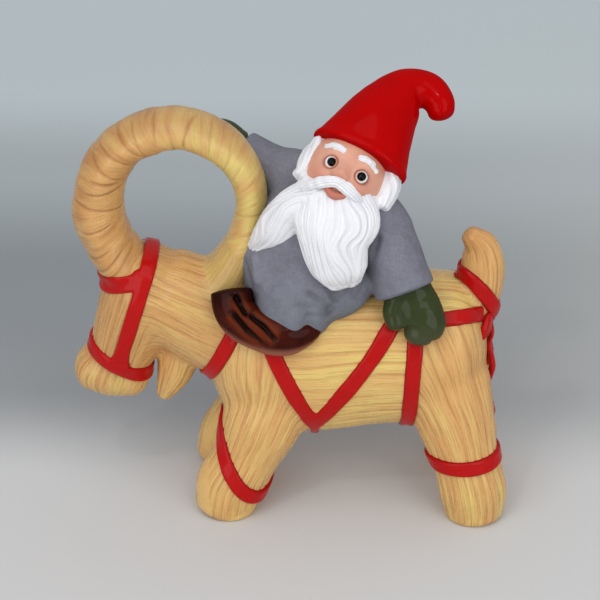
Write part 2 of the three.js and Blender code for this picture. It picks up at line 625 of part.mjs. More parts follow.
// Head of the rider
const eyes = { left: 1, right: -1 };
const eyeSeams = Object.values(eyes).map((sign) => eye(sign, SEAM));
const sleeveSeams = [sleeveLeft(SEAM), sleeveRight(SEAM)];
piece('face', carve(skin(), [torsoSeam, ...sleeveSeams, ...eyeSeams]), 'skin');
for (const [side, sign] of Object.entries(eyes)) {
  piece(`eye_${side}`, eye(sign), 'eye');
  piece(`brow_${side}`, carve(brow(sign), [faceSeam]), 'white');
}
piece('lip', carve(lip(), [faceSeam]), 'lip');
piece('moustache', carve(moustache(), [faceSeam, lip(SEAM)]), 'white');
const faceWork = [torsoSeam, ...sleeveSeams, faceSeam, lip(SEAM), moustache(SEAM)];
piece('beard', carve(beard(), faceWork), 'white');
piece('beard_wing', carve(beardWing(), [...faceWork, beard(SEAM), hornSeam]), 'white');
const beardSeams = [beard(SEAM), beardWing(SEAM)];
piece('hair', carve(hair(), [...faceWork, capSeam, ...beardSeams]), 'white');
const browSeams = [brow(1, SEAM), brow(-1, SEAM)];
piece('cap', carve(cap(), [faceSeam, ...browSeams]), 'cap');

// Ribbons of the goat
const riderSeams = rider(SEAM);
const bodyShell = ribbonShell(goatHide);
const ribbon = (shape, tools = []) =>
  carve(bodyShell.intersect(shape), [...riderSeams, hornSeam, ...tools]);
const gap = 2 * SEAM;
piece('collar', ribbon(straps.collar, [goatee(SEAM)]), 'ribbon');
piece('girth_strap', ribbon(straps.girth()), 'ribbon');
piece('saddle_strap', ribbon(straps.saddle(0), [straps.girth(gap), straps.collar]), 'ribbon');
piece('crupper_strap', ribbon(straps.crupper(), [knotForm(SEAM)]), 'ribbon');
for (const [side, sign] of flanks) {
  const hipTools = [straps.crupper(gap), straps.girth(gap)];
  piece(`hip_strap_${side}`, ribbon(straps.hip.intersect(flank(sign)), hipTools), 'ribbon');
}
piece('cheek_strap', ribbon(straps.cheek(), [straps.nose(gap)]), 'ribbon');
piece('noseband', ribbon(straps.nose()), 'ribbon');
piece('brow_band', ribbon(straps.brow, [straps.cheek(gap)]), 'ribbon');

// A band slopes round each leg, low on the outside
const legBands = {
  front: {
    centre: [frontFoot.x + 6, frontFoot.y, BELLY_HEIGHT - 7],
    normal: [0.73, -0.41, 0.55],
    width: FRONT_BAND_WIDTH,
  },
  hind: {
    centre: [hindFoot.x - 4.5, hindFoot.y - 2, BELLY_HEIGHT - 4.8],
    normal: [-0.1, 0, 1],
    width: RIBBON_WIDTH,
  },
};
for (const [pair, { centre, normal, width }] of Object.entries(legBands)) {
  for (const [side, sign] of flanks) {
    const stations = legs[`leg_${pair}_${side}`];
    const shell = legForm(stations, SEAM + RIBBON_THICKNESS).subtract(legForm(stations, SEAM));
    const place = [centre[0], -sign * centre[1], centre[2]];
    const turned = [normal[0], sign * normal[1], normal[2]];
    const band = slice(place, turned, width, 90);
    piece(`band_${pair}_${side}`, carve(shell.intersect(band), [bodySeam, ground]), 'ribbon');
  }
}

const rumpSeams = [bodySeam, tail(SEAM), straps.crupper(gap), straps.hip, knotForm(SEAM)];
piece('bow_knot', carve(knotForm(), [bodySeam, tail(SEAM)]), 'ribbon');
for (const [side, sign] of flanks) {
  const loop = (grow = 0) => loft([
    [knot[0] - 0.5, -sign * 3, knot[2] + 0.5, 2.2, 2],
    [knot[0] - 1.5, -sign * 8, knot[2] - 1.5, 2.4, 4],
    [knot[0] - 4, -sign * 13, knot[2] - 5, 2.2, 2.6],
  ], { across: [0, 0, 1], sides: 10, domes: [1, 2], grow });
  const end = loft([
    [knot[0] + 0.5, -sign * 2, knot[2] - 3, 1.8, 2],
    [knot[0] + 1, -sign * 4, knot[2] - 12, 1.6, 2.8],
    [knot[0] + 1.6, -sign * 6, knot[2] - 21, 1.7, 2.8],
    [knot[0] + 1, -sign * 6.5, knot[2] - 27, 1.5, 1.6],
  ], { across: [0, 1, 0], sides: 10, domes: [1, 1.5] });
  piece(`bow_loop_${side}`, carve(loop(), [...rumpSeams, ...legSeams]), 'ribbon');
  piece(`bow_end_${side}`, carve(end, [...rumpSeams, loop(SEAM), ...legSeams]), 'ribbon');
}

const box = new THREE.Box3().setFromObject(yuleGoat);
const middle = box.getCenter(new THREE.Vector3());
yuleGoat.position.set(-middle.x, -middle.y, -box.min.z);

export default yuleGoat;
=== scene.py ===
# Looks of the glazed earthenware yule goat and its rider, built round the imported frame.
# Shapes are worked out in millimetres in the part's own numbers, then set down in metres.
import math

import bpy
import numpy as np
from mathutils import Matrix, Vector
from mathutils.bvhtree import BVHTree


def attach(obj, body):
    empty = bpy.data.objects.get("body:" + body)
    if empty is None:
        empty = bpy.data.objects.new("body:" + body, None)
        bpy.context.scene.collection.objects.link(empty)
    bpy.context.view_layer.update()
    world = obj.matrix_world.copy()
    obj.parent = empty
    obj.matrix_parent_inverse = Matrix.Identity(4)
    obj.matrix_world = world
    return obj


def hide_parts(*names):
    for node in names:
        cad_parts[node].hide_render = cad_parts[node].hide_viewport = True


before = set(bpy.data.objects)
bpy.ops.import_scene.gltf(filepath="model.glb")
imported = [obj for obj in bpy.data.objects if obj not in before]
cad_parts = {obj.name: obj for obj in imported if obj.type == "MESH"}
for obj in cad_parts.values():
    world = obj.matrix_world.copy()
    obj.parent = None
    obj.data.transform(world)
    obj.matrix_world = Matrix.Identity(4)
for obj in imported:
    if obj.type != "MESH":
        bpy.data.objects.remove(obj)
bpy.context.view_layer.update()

MM = 0.001
SHIFT = np.array([-0.31, 0.0, 0.0])

# Camera
AZIMUTH = math.radians(1)
ELEVATION = math.radians(28)
DISTANCE = 0.9
LENS = 130.68
SENSOR = 36
TARGET = Vector((0.00379, 0.0, 0.0885))
back = Vector((
    math.sin(AZIMUTH) * math.cos(ELEVATION),
    -math.cos(AZIMUTH) * math.cos(ELEVATION),
    math.sin(ELEVATION),
))
camera = bpy.data.objects.new("camera", bpy.data.cameras.new("camera"))
camera.data.lens = LENS
camera.data.sensor_width = SENSOR
camera.location = TARGET + back * DISTANCE
camera.rotation_euler = back.to_track_quat("Z", "Y").to_euler()
bpy.context.scene.collection.objects.link(camera)
bpy.context.scene.camera = camera

# Sizes of the goat and its rider, as in the part
CHEST = -34.0
RUMP = 82.0
BELLY = 32.5
AXIS = 67.0
BACK = 101.5
VEE = (CHEST + 44.5, BELLY + 10.5)
POLL = (-58.5, 0.0, 104.0)
HORN = (-46.5, 134.5)
HOOP_RADIUS = 31
HOOP_START = 236
HOOP_SWEEP = 298
HOOP_ROWS = 15
SEAT = (4.0, 0.0, 101.5)
HEAD = np.array([22.0, -7.5, 148.5])
FACE = 16.5
px, _, pz = POLL
sx, _, sz = SEAT


# Noise, from large odd factors that scatter the bits of whole numbers
FACTORS = np.array([374761393, 668265263, 2246822519, 3266489917], np.uint32)
WORD = 2 ** 32


def mixed(cell, seed):
    """Repeatable number from -1 to 1 for each row of whole numbers."""
    x, y, z = (cell[..., k].astype(np.uint32) * FACTORS[k] for k in range(3))
    h = x ^ y ^ z ^ np.uint32((seed * int(FACTORS[3]) + 374761) % WORD)
    h = (h ^ (h >> np.uint32(15))) * FACTORS[2]
    h = (h ^ (h >> np.uint32(13))) * FACTORS[3]
    h ^= h >> np.uint32(16)
    return h.astype(np.float64) / ((WORD - 1) / 2) - 1


def noise(points, seed):
    """Smooth value noise, about -1 to 1, at each row."""
    cell = np.floor(points).astype(np.int64)
    part = points - cell
    part = part * part * part * (part * (part * 6 - 15) + 10)
    total = np.zeros(len(points))
    for corner in range(8):
        bits = np.array([corner & 1, corner >> 1 & 1, corner >> 2 & 1])
        weight = np.prod(np.where(bits, part, 1 - part), axis=1)
        total += weight * mixed(cell + bits, seed)
    return total


def columns(*values):
    """Values side by side, one row for each point."""
    return np.column_stack(np.broadcast_arrays(*values))


def uneven(u, v, seed):
    """Smooth noise over two numbers."""
    return noise(columns(u, v, 0.5), seed)


def smooth(low, high, value):
    """Soft step from 0 at low to 1 at high."""
    x = np.clip((value - low) / (high - low), 0, 1)
    return x * x * (3 - 2 * x)


def bump(value, middle, width):
    """Soft peak of 1 at the middle."""
    return np.exp(-((value - middle) / width) ** 2)


def wrap(angle):
    """An angle between minus half a turn and half a turn."""
    return (angle + math.pi) % (2 * math.pi) - math.pi


def furrows(u, v, pitch, seed, low=0.45, wander=1.2):
    """Grooves along v, side by side: 1 at the bottom of a groove, 0 between them."""
    moved = u + wander * uneven(u / (2.4 * pitch), v / 32, seed)
    line = smooth(low, 1, np.cos(2 * math.pi * moved / pitch))
    return line * smooth(-0.45, 0.2, uneven(u / (1.3 * pitch), v / 20, seed + 2))


def valleys(u, v, pitch, seed, wander):
    """Rounded strands side by side along v: 0 on top of a strand, 1 in the valley between."""
    moved = u + wander * uneven(u / (2.4 * pitch), v / 26, seed)
    return (1 - np.abs(np.sin(math.pi * moved / pitch))) ** 1.3


# Lofts
def spline(points, t, even):
    """Catmull-Rom line through points at t from 0 to 1: centripetal, or even."""
    count = len(points)
    ends = np.vstack([2 * points[0] - points[1], points, 2 * points[-1] - points[-2]])
    place = np.clip(t, 0, 1) * (count - 1)
    first = np.minimum(np.floor(place).astype(int), count - 2)
    w = (place - first)[:, None]
    p0, p1, p2, p3 = (ends[first + k] for k in range(4))
    if even:
        t1, t2 = (p2 - p0) / 2, (p3 - p1) / 2
    else:
        d0, d1, d2 = (np.sum((b - a) ** 2, axis=1)[:, None] ** 0.25
                      for a, b in ((p0, p1), (p1, p2), (p2, p3)))
        t1 = ((p1 - p0) / d0 - (p2 - p0) / (d0 + d1) + (p2 - p1) / d1) * d1
        t2 = ((p2 - p1) / d1 - (p3 - p1) / (d1 + d2) + (p3 - p2) / d2) * d1
    c2 = -3 * p1 + 3 * p2 - 2 * t1 - t2
    c3 = 2 * p1 - 2 * p2 + t1 + t2
    return p1 + t1 * w + c2 * w ** 2 + c3 * w ** 3


def offset(origin, rows):
    """Rows of numbers, the first three of which are counted from an origin."""
    return [[*np.add(row[:3], origin), *row[3:]] for row in rows]


def unit(v):
    """Each vector made 1 long."""
    return v / np.maximum(np.linalg.norm(v, axis=-1, keepdims=True), 1e-9)


def shell(rows, cols, closed=False):
    """Faces of a grid of round rows. Two poles follow the grid, unless its ends meet."""
    i = np.arange(rows if closed else rows - 1)[:, None] * cols
    j = np.arange(cols)[None, :]
    k = (j + 1) % cols
    after = (i + cols) % (rows * cols)
    quads = np.stack([i + j, i + k, after + k, after + j], axis=-1).reshape(-1, 4)
    if closed:
        return [quads]
    last = (rows - 1) * cols
    caps = [np.column_stack([np.full(cols, rows * cols), k[0], j[0]]),
            np.column_stack([np.full(cols, rows * cols + 1), last + j[0], last + k[0]])]
    return [quads, np.vstack(caps)]


class Loft:
    """Oval rings along a line, with a dome at each end, as in the part."""

    def __init__(self, stations, across=(0, 1, 0), domes=(6, 6)):
        self.stations = np.array(stations, float)
        self.across = np.array(across, float)
        self.domes = domes

    def frames(self, t):
        line = self.stations[:, :3]
        centre = spline(line, t, False)
        low, high = np.clip(t - 1e-4, 0, 1), np.clip(t + 1e-4, 0, 1)
        along = unit(spline(line, high, False) - spline(line, low, False))
        wide = unit(self.across - along * (along @ self.across)[:, None])
        return centre, along, wide, np.cross(along, wide), spline(self.stations[:, 3:5], t, True)

    def surface(self, pitch, cols):
        """Grid of points: returns points, faces, angle round the line and length along it."""
        fine = np.linspace(0, 1, 600)
        line = spline(self.stations[:, :3], fine, False)
        length = np.concatenate([[0], np.cumsum(np.linalg.norm(np.diff(line, axis=0), axis=1))])
        rows = max(3, int(round(length[-1] / pitch)) + 1)
        v = np.linspace(0, length[-1], rows)
        t = np.interp(v, length, fine)
        first, last = self.domes
        low, high = (np.arange(1, n) / n * math.pi / 2 for n in (
            max(3, int(round(dome * 1.6 / pitch))) for dome in self.domes))
        low = low[::-1]
        ts = np.concatenate([np.full(len(low), t[0]), t, np.full(len(high), t[-1])])
        scale = np.concatenate([np.cos(low), np.ones(rows), np.cos(high)])
        shift = np.concatenate([-first * np.sin(low), np.zeros(rows), last * np.sin(high)])
        run = shift + np.concatenate([np.full(len(low), v[0]), v, np.full(len(high), v[-1])])
        centre, along, wide, tall, half = self.frames(ts)
        theta = np.arange(cols) / cols * 2 * math.pi
        body = (centre[:, None] + along[:, None] * shift[:, None, None]
                + tall[:, None] * (half[:, 0] * scale)[:, None, None] * np.cos(theta)[None, :, None]
                + wide[:, None] * (half[:, 1] * scale)[:, None, None] * np.sin(theta)[None, :, None])
        poles = np.array([centre[0] - along[0] * first, centre[-1] + along[-1] * last])
        points = np.vstack([body.reshape(-1, 3), poles])
        angles = np.concatenate([np.tile(theta, len(ts)), [0, 0]])
        lengths = np.concatenate([np.repeat(run, cols), [run[0] - 1, run[-1] + 1]])
        return points, shell(len(ts), cols), angles, lengths

    def skin(self, pitch, cols):
        """As surface, with the faces turned outward and the normals after them."""
        points, faces, angles, lengths = self.surface(pitch, cols)
        faces = outward(points, faces)
        return points, faces, normals(points, faces), angles, lengths

    def locate(self, points, samples=90):
        """For each point: angle round the oval, length along it, and distance out of the surface."""
        t = np.linspace(0, 1, samples)
        centre, along, wide, tall, half = self.frames(t)
        best = np.concatenate([
            ((centre ** 2).sum(1) - 2 * (chunk @ centre.T)).argmin(1)
            for chunk in np.array_split(points, len(points) // 50000 + 1)
        ])
        step = np.concatenate([[0], np.cumsum(np.linalg.norm(np.diff(centre, axis=0), axis=1))])
        off = points - centre[best]
        z = np.einsum("ij,ij->i", off, along[best])
        a = np.einsum("ij,ij->i", off, tall[best])
        b = np.einsum("ij,ij->i", off, wide[best])
        inner = (best > 0) & (best < samples - 1)
        over = np.where(inner, 0, z)
        over = np.where((best == 0) & (z > 0), 0, over)
        over = np.where((best == samples - 1) & (z < 0), 0, over)
        dome = np.where(best == 0, self.domes[0], self.domes[1])
        rho = np.sqrt((a / half[best, 0]) ** 2 + (b / half[best, 1]) ** 2 + (over / dome) ** 2)
        radius = np.sqrt(a * a + b * b + over * over)
        gap = (rho - 1) * radius / np.maximum(rho, 1e-6)
        turn = np.arctan2(b / half[best, 1], a / half[best, 0])
        return turn, step[best] + z, gap


# Meshes
def normals(points, faces):
    """Normal at each point."""
    total = np.zeros_like(points)
    for f in faces:
        if f.shape[1] == 4:
            n = np.cross(points[f[:, 2]] - points[f[:, 0]], points[f[:, 3]] - points[f[:, 1]])
        else:
            n = np.cross(points[f[:, 1]] - points[f[:, 0]], points[f[:, 2]] - points[f[:, 0]])
        for k in range(f.shape[1]):
            for axis in range(3):
                total[:, axis] += np.bincount(f[:, k], n[:, axis], len(points))
    return unit(total)


def volume(points, faces):
    """What the faces enclose; less than 0 if they face inward."""
    total = 0
    for f in faces:
        for k in range(1, f.shape[1] - 1):
            a, b, c = points[f[:, 0]], points[f[:, k]], points[f[:, k + 1]]
            total += np.einsum("ij,ij->i", a, np.cross(b, c)).sum() / 6
    return total


def outward(points, faces):
    """The faces, turned round if they face inward."""
    return faces if volume(points, faces) > 0 else [f[:, ::-1] for f in faces]


def merge(parts):
    """Several (points, faces) as one."""
    points, faces, start = [], [], 0
    for p, fs in parts:
        points.append(p)
        faces += [f + start for f in fs]
        start += len(p)
    return np.vstack(points), faces


def neighbours(points, faces):
    """Numbers of each point's neighbours in one row, where each point's begin, and how many it has."""
    pairs = np.vstack([np.column_stack([f[:, k], f[:, (k + 1) % f.shape[1]]])
                       for f in faces for k in range(f.shape[1])])
    count = len(points)
    keys = np.unique(np.concatenate([pairs[:, 0] * count + pairs[:, 1], pairs[:, 1] * count + pairs[:, 0]]))
    starts = np.searchsorted(keys, np.arange(count) * count)
    return keys % count, starts, np.bincount(keys // count, minlength=count)


def relax(points, net, rounds, weight=0.5):
    """Points moved towards the middle of their neighbours, with a weight for each point."""
    other, starts, count = net
    weight = np.broadcast_to(weight, len(points))[:, None]
    points = points.copy()
    for _ in range(rounds):
        mean = np.add.reduceat(points[other], starts, axis=0) / count[:, None]
        points += (mean - points) * weight
    return points


def voxel(points, faces, size):
    """One skin round all that the faces enclose."""
    ob = make_object("scratch", points / MM - SHIFT, faces, plain=True)
    mod = ob.modifiers.new("skin", "REMESH")
    mod.mode = "VOXEL"
    mod.voxel_size = size
    shown = ob.evaluated_get(bpy.context.evaluated_depsgraph_get())
    mesh = shown.to_mesh()
    out = np.empty(len(mesh.vertices) * 3)
    mesh.vertices.foreach_get("co", out)
    loops = np.empty(len(mesh.loops), int)
    mesh.loops.foreach_get("vertex_index", loops)
    shown.to_mesh_clear()
    bpy.data.objects.remove(ob)
    points = out.reshape(-1, 3)
    return points, outward(points, [loops.reshape(-1, 4)])


def melt(forms, pitch, cols, size):
    """One skin round several lofts, cut off at the floor."""
    raw = []
    for form in forms:
        points, faces, _, _ = form.surface(pitch, cols)
        points[:, 2] = np.maximum(points[:, 2], 0.0)
        raw.append((points, outward(points, faces)))
    return voxel(*merge(raw), size)


def meeting(gaps, reach):
    """1 where two forms meet, 0 well away from the second nearest; gaps has a row for each form."""
    return np.exp(-(np.maximum(np.sort(gaps, axis=0)[1], 0) / reach) ** 2)


def push(points, faces, out):
    """Points moved out along their normals."""
    return points + normals(points, faces) * out[:, None]


def make_object(name, points, faces, plain=False):
    """A mesh of points in mm, set down in the scene."""
    mesh = bpy.data.meshes.new(name)
    mesh.vertices.add(len(points))
    mesh.vertices.foreach_set("co", ((points + SHIFT) * MM).ravel())
    loops = np.concatenate([f.ravel() for f in faces])
    counts = np.concatenate([np.full(len(f), f.shape[1]) for f in faces])
    mesh.loops.add(len(loops))
    mesh.loops.foreach_set("vertex_index", loops)
    mesh.polygons.add(len(counts))
    mesh.polygons.foreach_set("loop_start", np.concatenate([[0], np.cumsum(counts)[:-1]]))
    mesh.update(calc_edges=True)
    if not plain:
        mesh.shade_smooth()
    ob = bpy.data.objects.new(name, mesh)
    bpy.context.scene.collection.objects.link(ob)
    return ob


def mark(ob, key, values, kind="FLOAT", where="POINT"):
    """Numbers that the material reads, one for each point or corner."""
    layer = ob.data.attributes.new(key, kind, where)
    layer.data.foreach_set("value" if kind == "FLOAT" else "vector", np.ravel(values).astype(np.float32))


def finish(ob, material, nodes, marks):
    """Gives an object its material and marks, hangs it under the root, and hides the nodes that it stands
    for.
    """
    ob.data.materials.append(material)
    for key, values in marks.items():
        mark(ob, key, np.broadcast_to(values, len(ob.data.vertices)))
    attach(ob, "root")
    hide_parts(*nodes)
    return ob


def piece(name, points, faces, material, nodes, marks):
    """A closed piece: its mesh, with its material, marks and nodes."""
    return finish(make_object(name, points, outward(points, faces)), material, nodes, marks)


# Materials
def linear(rgb):
    """Linear light of a colour as it looks on a screen."""
    c = np.array(rgb, float) / 255
    c = np.where(c <= 0.04045, c / 12.92, ((c + 0.055) / 1.055) ** 2.4)
    return (*c, 1.0)


class Paint:
    """A material whose nodes are added one by one."""

    def __init__(self, name, roughness, coat=0.0, coat_roughness=0.06, specular=0.5):
        self.material = bpy.data.materials.new(name)
        self.material.use_nodes = True
        self.tree = self.material.node_tree
        self.shader = self.tree.nodes["Principled BSDF"]
        for key, value in (("Roughness", roughness), ("Coat Weight", coat),
                           ("Coat Roughness", coat_roughness), ("Specular IOR Level", specular)):
            self.shader.inputs[key].default_value = value
        self.place = self.node("ShaderNodeTexCoord").outputs["Object"]

    def node(self, kind, **values):
        made = self.tree.nodes.new(kind)
        for key, value in values.items():
            setattr(made, key, value)
        return made

    def feed(self, sockets, *values):
        """Links or sets sockets; three whole numbers are a colour as it looks on a screen."""
        for socket, value in zip(sockets, values):
            if isinstance(value, tuple):
                socket.default_value = linear(value)
            elif isinstance(value, (int, float)):
                socket.default_value = value
            else:
                self.tree.links.new(value, socket)

    def into(self, key, value):
        self.feed([self.shader.inputs[key]], value)

    def mark(self, name, output="Fac"):
        return self.node("ShaderNodeAttribute", attribute_name=name).outputs[output]

    def split(self, vector):
        made = self.node("ShaderNodeSeparateXYZ")
        self.feed(made.inputs, vector)
        return made.outputs

    def sum(self, kind, one, two=0.0):
        """A number worked out from two others."""
        made = self.node("ShaderNodeMath", operation=kind)
        self.feed(made.inputs, one, two)
        return made.outputs[0]

    def noise(self, scale, detail=2.0, roughness=0.5, vector=None):
        made = self.node("ShaderNodeTexNoise")
        self.feed([made.inputs[key] for key in ("Scale", "Detail", "Roughness", "Vector")],
                  scale, detail, roughness, vector or self.place)
        return made.outputs["Fac"]

    def steps(self, value, *stops):
        """A colour ramp."""
        ramp = self.node("ShaderNodeValToRGB")
        ramp.color_ramp.interpolation = "EASE"
        items = ramp.color_ramp.elements
        while len(items) < len(stops):
            items.new(0.5)
        for item, (place, colour) in zip(items, stops):
            item.position = place
            item.color = linear(colour)
        self.feed([ramp.inputs["Fac"]], value)
        return ramp.outputs["Color"]

    def scaled(self, value, low, high, out_low=0.0, out_high=1.0):
        made = self.node("ShaderNodeMapRange")
        self.feed([made.inputs[key] for key in ("From Min", "From Max", "To Min", "To Max", "Value")],
                  low, high, out_low, out_high, value)
        return made.outputs["Result"]

    def mix(self, factor, one, two):
        made = self.node("ShaderNodeMix", data_type="RGBA")
        self.feed([s for s in made.inputs if s.enabled], factor, one, two)
        return [s for s in made.outputs if s.enabled][0]

    def wash(self, one, two, scale, detail=3, roughness=0.6, low=0.3, high=0.7, most=1.0):
        """One colour that turns into another in patches."""
        return self.mix(self.scaled(self.noise(scale, detail, roughness), low, high, 0, most), one, two)

    def relief(self, height, distance, strength):
        made = self.node("ShaderNodeBump")
        self.feed([made.inputs[key] for key in ("Strength", "Distance", "Height")],
                  strength, distance, height)
        self.into("Normal", made.outputs["Normal"])


def straw_paint():
    """Ochre clay with thin lines drawn along the straw, under a clear glaze."""
    p = Paint("straw_glaze", 0.3, coat=0.2, coat_roughness=0.06, specular=0.25)
    across, along, bundle = p.split(p.mark("lines", "Vector"))

    def field(wide, long, shift):
        where = p.node("ShaderNodeCombineXYZ")
        p.feed(where.inputs, p.sum("DIVIDE", across, wide), p.sum("DIVIDE", along, long),
               p.sum("ADD", bundle, shift))
        return p.noise(1.0, 1.0, 0.5, where.outputs[0])

    def drawn(pitch, wander, low, shift):
        drift = p.sum("MULTIPLY", p.sum("SUBTRACT", field(2.2 * pitch, 26, shift), 0.5), 2 * wander)
        turn = p.sum("MULTIPLY", p.sum("ADD", across, drift), 2 * math.pi / pitch)
        line = p.scaled(p.sum("SINE", turn), low, 1.0)
        held = p.scaled(field(1.3 * pitch, 10, shift + 5.3), 0.38, 0.56)
        return p.sum("MULTIPLY", line, held)

    fine_lines = p.sum("MULTIPLY", drawn(0.95, 1.1, 0.5, 9.1), 0.5)
    cut = p.sum("MULTIPLY", p.sum("MAXIMUM", drawn(1.55, 1.7, 0.45, 1.7), fine_lines), p.mark("fine"))
    strand = p.scaled(field(1.7, 40, 17.9), 0.3, 0.7, -0.13, 0.13)
    patch = p.scaled(field(7, 30, 31.3), 0.3, 0.7, -0.14, 0.14)
    clay = p.steps(
        p.sum("ADD", p.sum("ADD", strand, patch), p.mark("tone")),
        (0.0, (204, 146, 88)), (0.3, (220, 169, 105)), (0.55, (226, 184, 114)),
        (0.8, (229, 199, 118)), (1.0, (232, 209, 124)),
    )
    lined = p.mix(p.scaled(cut, 0, 1, 0, 0.43), clay, (184, 124, 72))
    grooved = p.mix(p.scaled(p.mark("groove"), 0, 1, 0, 0.55), lined, (172, 108, 58))
    # The dim mark darkens the clay: its own darker tone on head, neck and hoop end, and painted shade on the
    # top of the hoop
    p.into("Base Color", p.mix(p.mark("dim"), grooved, (0, 0, 0)))
    p.into("Roughness", p.scaled(p.noise(420, 2), 0.35, 0.65, 0.2, 0.36))
    p.relief(p.scaled(cut, 0, 1, 1.0, 0.0), 0.00022, 0.7)
    return p.material


def glaze_paint(name, base, deep, edge, rough=0.25, grain=(120, 0.2), specular=0.07, coat=0.16):
    """Glossy coloured glaze, mottled by the brush, turned by the shade mark towards its edge colour: darker
    where it pools, and painted shade along the edges and in the folds of the ribbons and the bow.
    """
    p = Paint(name, rough, coat=coat, coat_roughness=0.04, specular=specular)
    body = p.wash(base, deep, grain[0], 4, 0.6, 0.32, 0.68, grain[1])
    p.into("Base Color", p.mix(p.mark("shade"), body, edge))
    p.into("Roughness", p.scaled(p.noise(300, 2), 0.3, 0.7, rough * 0.7, rough * 1.4))
    p.relief(p.noise(260, 2, 0.5), 0.0004, 0.25)
    return p.material


def tunic_paint():
    """Matt grey slip, mottled broad and fine, a little green low down."""
    p = Paint("tunic_slip", 0.85, specular=0.2)
    body = p.wash((108, 109, 119), (126, 126, 137), 45, 3, 0.6, 0.32, 0.68)
    body = p.wash(body, (135, 135, 148), 330, 4, 0.7, 0.38, 0.62, 0.5)
    body = p.wash(body, (92, 92, 103), 1100, 3, 0.7, 0.5, 0.32, 0.4)
    low = p.scaled(p.split(p.place)[2], 0.118, 0.096)
    low = p.sum("MULTIPLY", low, p.scaled(p.noise(90, 3), 0.35, 0.65))
    body = p.mix(p.scaled(low, 0, 1, 0, 0.5), body, (108, 119, 122))
    # The shade mark paints shade into the folds
    p.into("Base Color", p.mix(p.mark("shade"), body, (78, 72, 76)))
    p.relief(p.noise(1300, 3, 0.7), 0.0002, 0.5)
    return p.material


def trouser_paint():
    """Dark brown glaze: black in the folds, amber on their ridges, matt on the lower rim."""
    p = Paint("trouser_glaze", 0.25, coat=0.16, coat_roughness=0.04, specular=0.0)
    body = p.wash((68, 20, 11), (46, 11, 6), 140, 4, 0.6, 0.32, 0.68)
    body = p.mix(p.mark("ridge"), body, (146, 62, 26))
    body = p.mix(p.mark("rim"), body, (165, 104, 84))
    p.into("Base Color", p.mix(p.mark("shade"), body, (18, 6, 4)))
    p.into("Roughness", p.scaled(p.mark("rim"), 0, 1, 0.18, 0.6))
    p.relief(p.noise(260, 2, 0.5), 0.0004, 0.3)
    return p.material


def hair_paint():
    """White glaze, greyed by painted shade in the valleys between the strands."""
    p = Paint("hair_glaze", 0.34, coat=0.15, coat_roughness=0.1, specular=0.3)
    body = p.wash((233, 233, 237), (241, 241, 244), 120)
    p.into("Base Color", p.mix(p.scaled(p.mark("groove"), 0, 1, 0, 0.6), body, (196, 197, 208)))
    p.relief(p.noise(700, 2, 0.5), 0.00015, 0.3)
    return p.material


def skin_paint():
    """Satin slip with flushed cheeks and nose."""
    p = Paint("skin_slip", 0.5, coat=0.25, coat_roughness=0.2)
    body = p.mix(p.mark("flush"), p.wash((215, 152, 127), (223, 164, 138), 170), (205, 128, 108))
    p.into("Base Color", p.mix(p.mark("shade"), body, (142, 70, 58)))
    p.relief(p.noise(1200, 2, 0.6), 0.0001, 0.3)
    return p.material


def eye_paint():
    """White glaze with a painted pupil and a brown rim."""
    p = Paint("eye_glaze", 0.1, specular=0.12)
    rim = p.mix(p.mark("rim"), p.wash((238, 232, 228), (246, 243, 240), 900, 2, 0.5), (92, 44, 34))
    p.into("Base Color", p.mix(p.mark("pupil"), rim, (6, 5, 6)))
    return p.material


STRAW = straw_paint()
RIBBON = glaze_paint("ribbon_glaze", (186, 18, 17), (158, 12, 13), (122, 12, 22), rough=0.25)
CAP = glaze_paint("cap_glaze", (184, 1, 2), (168, 0, 2), (138, 6, 14), rough=0.3, grain=(60, 0.6),
                  specular=0.0, coat=0.11)
MITTEN = glaze_paint("mitten_glaze", (54, 62, 33), (42, 51, 25), (84, 84, 62), rough=0.24,
                     specular=0.03, coat=0.3)
TROUSER = trouser_paint()
TUNIC = tunic_paint()
HAIR = hair_paint()
SKIN = skin_paint()
EYE = eye_paint()
LIP = glaze_paint("lip_slip", (198, 124, 104), (184, 108, 90), (150, 90, 84), rough=0.4)

# Straw skin: barrel, neck, head, muzzle and legs flow into each other
barrel = Loft([
    [RUMP - 16, 0, AXIS + 0.5, 32.5, 28], [RUMP - 46, 0, AXIS + 0.5, 33.7, 30],
    [CHEST + 42, 0, AXIS - 1.5, 35.5, 30], [CHEST + 20, 0, AXIS - 1, 32.5, 28.5],
], domes=(16, 20))
neck = Loft(offset((CHEST, 0, AXIS), [
    (27, 0, 5, 28.5, 25), (11, 0, 11, 25, 22.5), (-5, 0, 18, 22, 20.5), (-19, 0, 25, 20, 18.5),
]), domes=(4, 5))
skull = Loft(offset(POLL, [
    (1, 0, 0, 14, 16), (-1.5, 0, -9, 17, 18.5), (-4.8, 0, -20, 16.5, 18.3), (-8.8, 0, -31, 15, 16.6),
    (-12, 0, -40, 13.5, 15),
]), domes=(8, 8))
muzzle = Loft(offset(POLL, [
    (-8.5, 0, -49.5, 10.5, 12.5), (-16.5, 0, -48.5, 11.2, 13.5), (-23.5, 0, -47, 10.2, 12.5),
]), domes=(8.5, 8.5))
tail = Loft(offset((RUMP, 0, BACK), [
    (-6, 0, -15.5, 9, 8), (-3.5, 0, -3.5, 9.2, 8), (-3.2, 0, 5.5, 8.8, 7.5), (-4.8, 0, 13, 7.2, 6.2),
    (-8, 0, 17, 4.5, 4.8),
]), domes=(4, 3.5))
goatee = Loft(offset(POLL, [
    (12.5, 0, -40, 9.5, 8.5), (10, 0, -49, 7.9, 7.2), (6.9, 0, -56.5, 5.5, 5.2), (5.4, 0, -60, 3.9, 3.6),
]), domes=(4, 3.2))


